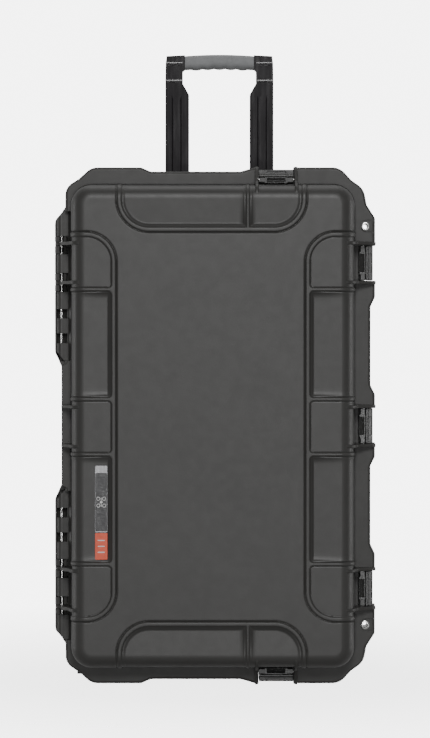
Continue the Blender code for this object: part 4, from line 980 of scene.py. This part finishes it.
def make_lid_foam():
    """Egg-crate foam: rounded peaks that press on what lies in the base."""
    low, high = extent("lid_foam")
    pitch, step, peak, corner = 30.0, 3.75, 9.5, 20.0
    half_x, half_z = (half_size("lid_foam")[i] - 1.0 for i in (0, 2))
    xs, zs = (np.linspace(-half, half, round(2 * half / step) + 1) for half in (half_x, half_z))
    x, z = np.meshgrid(xs, zs, indexing="ij")
    wave = np.cos(2 * math.pi * x / pitch) * np.cos(2 * math.pi * z / pitch)
    border = np.minimum(half_x - np.abs(x), half_z - np.abs(z))
    y = high.y - 10.0 + peak * wave * ease(border / 16.0)
    past_x, past_z = (np.maximum(0, corner - half + np.abs(c)) for half, c in ((half_x, x), (half_z, z)))
    over = np.maximum(0, np.hypot(past_x, past_z) - corner)
    x, z = x - np.sign(x) * over * 0.7, z - np.sign(z) * over * 0.7
    top = np.stack([BODY_X + x, y, MID_Z + z], -1)
    rim = edge_of(top)
    rings = []
    for y_at, shrink in ((-118.0, 0.998), (-134.0, 0.97), (low.y + 0.5, 0.92)):
        ring = rim.copy()
        ring[:, 0] = BODY_X + (ring[:, 0] - BODY_X) * shrink
        ring[:, 2] = MID_Z + (ring[:, 2] - MID_Z) * (1 - (1 - shrink) * half_x / half_z)
        ring[:, 1] = y_at
        rings.append(ring)
    cloud, faces, last = hang_rings(top, rings)
    faces.append(tuple(int(i) for i in last))
    foam = smooth(add_object("lid_foam_soft", np.concatenate(cloud), faces), 60.0)
    dress(foam, "foam", "lid", "lid_foam", slot="foam")


def make_plate(name, centre, half, corner, depth, edge, paint, slot, *nodes):
    """A thin plate on the lid, with this half size, corner radius, (front, back) and edge rounding."""
    obj = slab(name, rounded_box(*half, corner, centre), *depth)
    dress(soften(obj, edge), paint, "lid", *nodes, slot=slot)


def make_badge():
    """A plain silver plate with a dark field and a four-rotor sign, over a red tab with stripes."""
    (low, high), mid, half = extent("name_plate"), middle("name_plate"), half_size("name_plate")
    face, slot = low.y, "plate_silver"
    make_plate(slot, (mid.x, mid.z), (half.x, half.z), 1.6, (face, high.y), 0.35, "plate", slot, "name_plate")
    bare_top, margin = 13.0, 2.0  # the silver that shows over the field and under it
    field_half = half.z - bare_top / 2
    centre = (mid.x, low.z + margin + field_half)
    field = (half.x - 0.6, field_half)
    make_plate("plate_field", centre, field, 1.2, (face - 0.35, face + 0.2), 0.15, "ink", slot)
    rotor_ring = [(face - 0.7, 2.1), (face - 0.7, 2.9), (face - 0.2, 2.9), (face - 0.2, 2.1)]
    for across in (-4.4, 4.4):
        for up in (-5.2, 5.2):
            rotor = turned("plate_rotor", (centre[0] + across, centre[1] + up), 1, rotor_ring, 24)
            dress(smooth(rotor), "white", "lid", slot=slot)
    make_plate("plate_arms", centre, (0.45, 7.0), 0.4, (face - 0.65, face - 0.2), 0.1, "white", slot)
    make_plate("plate_cross", centre, (2.2, 1.4), 0.8, (face - 0.75, face - 0.2), 0.1, "white", slot)
    (low, high), mid, half = extent("name_plate_tab"), middle("name_plate_tab"), half_size("name_plate_tab")
    depth, slot = (low.y, high.y), "plate_red"
    make_plate("plate_tab", (mid.x, mid.z), (half.x, half.z), 1.6, depth, 0.35, "red", slot, "name_plate_tab")
    for up in (-9.0, 0.0, 9.0):
        place = (mid.x, mid.z + up)
        make_plate("plate_stripe", place, (5.4, 0.8), 0.6, (low.y - 0.3, low.y + 0.2), 0.1, "white", slot)


def dress_cad():
    """What keeps its CAD shape, and the steel that is renewed on it."""
    repaint("base_shell", "rim", 1.0)
    repaint("handle_bay_cover", "rim", 1.2)
    for label in ("left", "right"):
        repaint("leg_guide_" + label, "moulding", 1.0)
    repaint("release_button", "gloss", 1.6, 3)
    repaint("lock_bar", "steel", 0.6)
    repaint("release_spring", "steel")
    repaint("valve_body", "moulding", 0.9)
    repaint("valve_seal", "seal", 0.2)
    repaint("lid_gasket", "seal", 1.1, 3)
    for end in ("upper", "lower"):
        make_hinge_rod(end)
        make_lid_eyelet(end)
        repaint("base_eyelet_" + end, "steel", 0.3)


def make_hinge_rod(end):
    """The hinge pin, shorter at both ends, so that the hinge's slopes cover it."""
    node = "hinge_pin_" + end
    (low, high), mid = extent(node), middle(node)
    pin = rod("hinge_rod_" + end, (mid.x, mid.y), 2, low.z + PIN_COVER, high.z - PIN_COVER, half_size(node).x)
    dress(smooth(pin), "steel", frame["nodes"][node]["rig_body"], node, slot="steel")


def make_lid_eyelet(end):
    node = "lid_eyelet_" + end
    (low, high), mid = extent(node), middle(node)
    bore_r, sleeve_r, collar = 3.8, 5.6, 1.2
    ring = [(low.y, 4.4), (low.y, sleeve_r), (low.y + 0.7, EYELET_R), (low.y + collar, EYELET_R)]
    ring += [(low.y + collar, sleeve_r), (high.y, sleeve_r), (high.y, bore_r), (low.y + 2.6, bore_r)]
    eyelet = turned("lid_eye_" + end, (mid.x, mid.z), 1, ring, 40)
    dress(smooth(eyelet), "steel", "lid", node, slot="steel")


# ---- studio
def make_floor():
    """A pale disc that fades out into the white round it."""
    rings = [[(r * a, r * b, -0.4) for a, b in circle(1.0, 96)] for r in (10.0, 700.0, 2400.0)]
    floor = add_object("studio_floor", [p for ring in rings for p in ring], ring_faces(rings, False))
    pale = Paint("studio_floor", (0.9, 0.9, 0.89), 0.75)
    pale.mottle(400.0, 0.01)
    nodes, links = pale.nodes, pale.links
    reach = nodes.new("ShaderNodeVectorMath")
    reach.operation = "LENGTH"
    links.new(pale.place, reach.inputs[0])
    clear, mix = nodes.new("ShaderNodeBsdfTransparent"), nodes.new("ShaderNodeMixShader")
    links.new(pale.spread(reach.outputs["Value"], 0.6, 1.0, 0.3, 1.3), mix.inputs["Fac"])
    links.new(pale.shader.outputs["BSDF"], mix.inputs[1])
    links.new(clear.outputs["BSDF"], mix.inputs[2])
    links.new(mix.outputs["Shader"], nodes["Material Output"].inputs["Surface"])
    floor.data.materials.append(pale.material)


def make_world():
    """White to the eye. As light it is bright behind the case, dark beside it and dim in front."""
    world = bpy.data.worlds.new("studio")
    world.use_nodes = True
    bpy.context.scene.world = world
    nodes, links = world.node_tree.nodes, world.node_tree.links
    split = nodes.new("ShaderNodeSeparateXYZ")
    links.new(nodes.new("ShaderNodeTexCoord").outputs["Generated"], split.inputs["Vector"])
    ramp = nodes.new("ShaderNodeMapRange")
    ramp.inputs["From Min"].default_value, ramp.inputs["From Max"].default_value = -1.0, 1.0
    links.new(split.outputs["Y"], ramp.inputs["Value"])
    shade = nodes.new("ShaderNodeValToRGB")
    stops = shade.color_ramp.elements
    stops[0].color = (0.2, 0.2, 0.2, 1.0)
    stops[1].color = (0.4, 0.4, 0.4, 1.0)
    for position, level in ((0.3, 0.07), (0.52, 0.04), (0.62, 0.36), (0.8, 0.4)):
        stops.new(position).color = (level, level, level, 1.0)
    links.new(ramp.outputs["Result"], shade.inputs["Fac"])
    light = nodes["Background"]
    light.inputs["Strength"].default_value = 1.4
    links.new(shade.outputs["Color"], light.inputs["Color"])
    seen = nodes.new("ShaderNodeBackground")
    seen.inputs["Color"].default_value = (1.0, 1.0, 1.0, 1.0)
    seen.inputs["Strength"].default_value = 6.0
    ray, mix = nodes.new("ShaderNodeLightPath"), nodes.new("ShaderNodeMixShader")
    links.new(ray.outputs["Is Camera Ray"], mix.inputs["Fac"])
    links.new(light.outputs["Background"], mix.inputs[1])
    links.new(seen.outputs["Background"], mix.inputs[2])
    links.new(mix.outputs["Shader"], nodes["World Output"].inputs["Surface"])


def make_studio():
    make_floor()
    make_world()
    lights = (
        ("front_high", (0.15, -5.2, 2.7), (0.0, 0.0, 0.4), (1.3, 1.3), 145.0),
        ("front_low", (0.1, -5.4, 0.15), (0.0, 0.0, 0.3), (1.6, 0.3), 36.0),
        ("strip_left", (-3.4, 0.55, 0.6), (0.0, 0.0, 0.5), (0.6, 2.2), 22.0),
        ("strip_right", (3.4, 0.55, 0.6), (0.0, 0.0, 0.5), (0.6, 2.2), 24.0),
        ("top", (0.0, 0.6, 3.4), (0.0, 0.0, 0.4), (2.4, 2.0), 20.0),
    )
    for name, place, target, size, power in lights:
        data = bpy.data.lights.new("light_" + name, "AREA")
        data.shape = "RECTANGLE"
        data.size, data.size_y = size
        data.energy = power
        light = link(bpy.data.objects.new("light_" + name, data))
        light.location = place
        light.rotation_euler = (Vector(target) - Vector(place)).to_track_quat("-Z", "Y").to_euler()
        light.visible_camera = False


def make_camera():
    """Level with the case's upper half, far off, and aimed slightly down to frame the case and its handle."""
    distance, height, aim_height, frame_height = 5.0, 0.561, 0.485, 1.139
    data = bpy.data.cameras.new("camera")
    data.sensor_width = 36.0
    plane = distance + PARTING_Y * MM
    data.lens = data.sensor_width * plane / frame_height
    camera = link(bpy.data.objects.new("camera", data))
    camera.location = (0.0, -distance, height)
    aim = Vector((0.0, PARTING_Y * MM, aim_height))
    camera.rotation_euler = (aim - camera.location).to_track_quat("-Z", "Y").to_euler()
    bpy.context.scene.camera = camera


def main():
    make_camera()
    make_studio()
    dress(make_lid_face(), "shell", "lid", "lid_shell", slot="shell")
    dress(make_lid_rim(), "rim", "lid", "lid_shell", slot="shell")
    make_lid_ribs()
    make_barrels()
    for name, place in latch_sides().items():
        make_latch(name, place)
    make_pull_handle()
    for label in ("left", "right"):
        make_wheel(label)
    for name in ("side", "end"):
        make_carry_grip(name)
    make_foam()
    make_badge()
    dress_cad()


main()
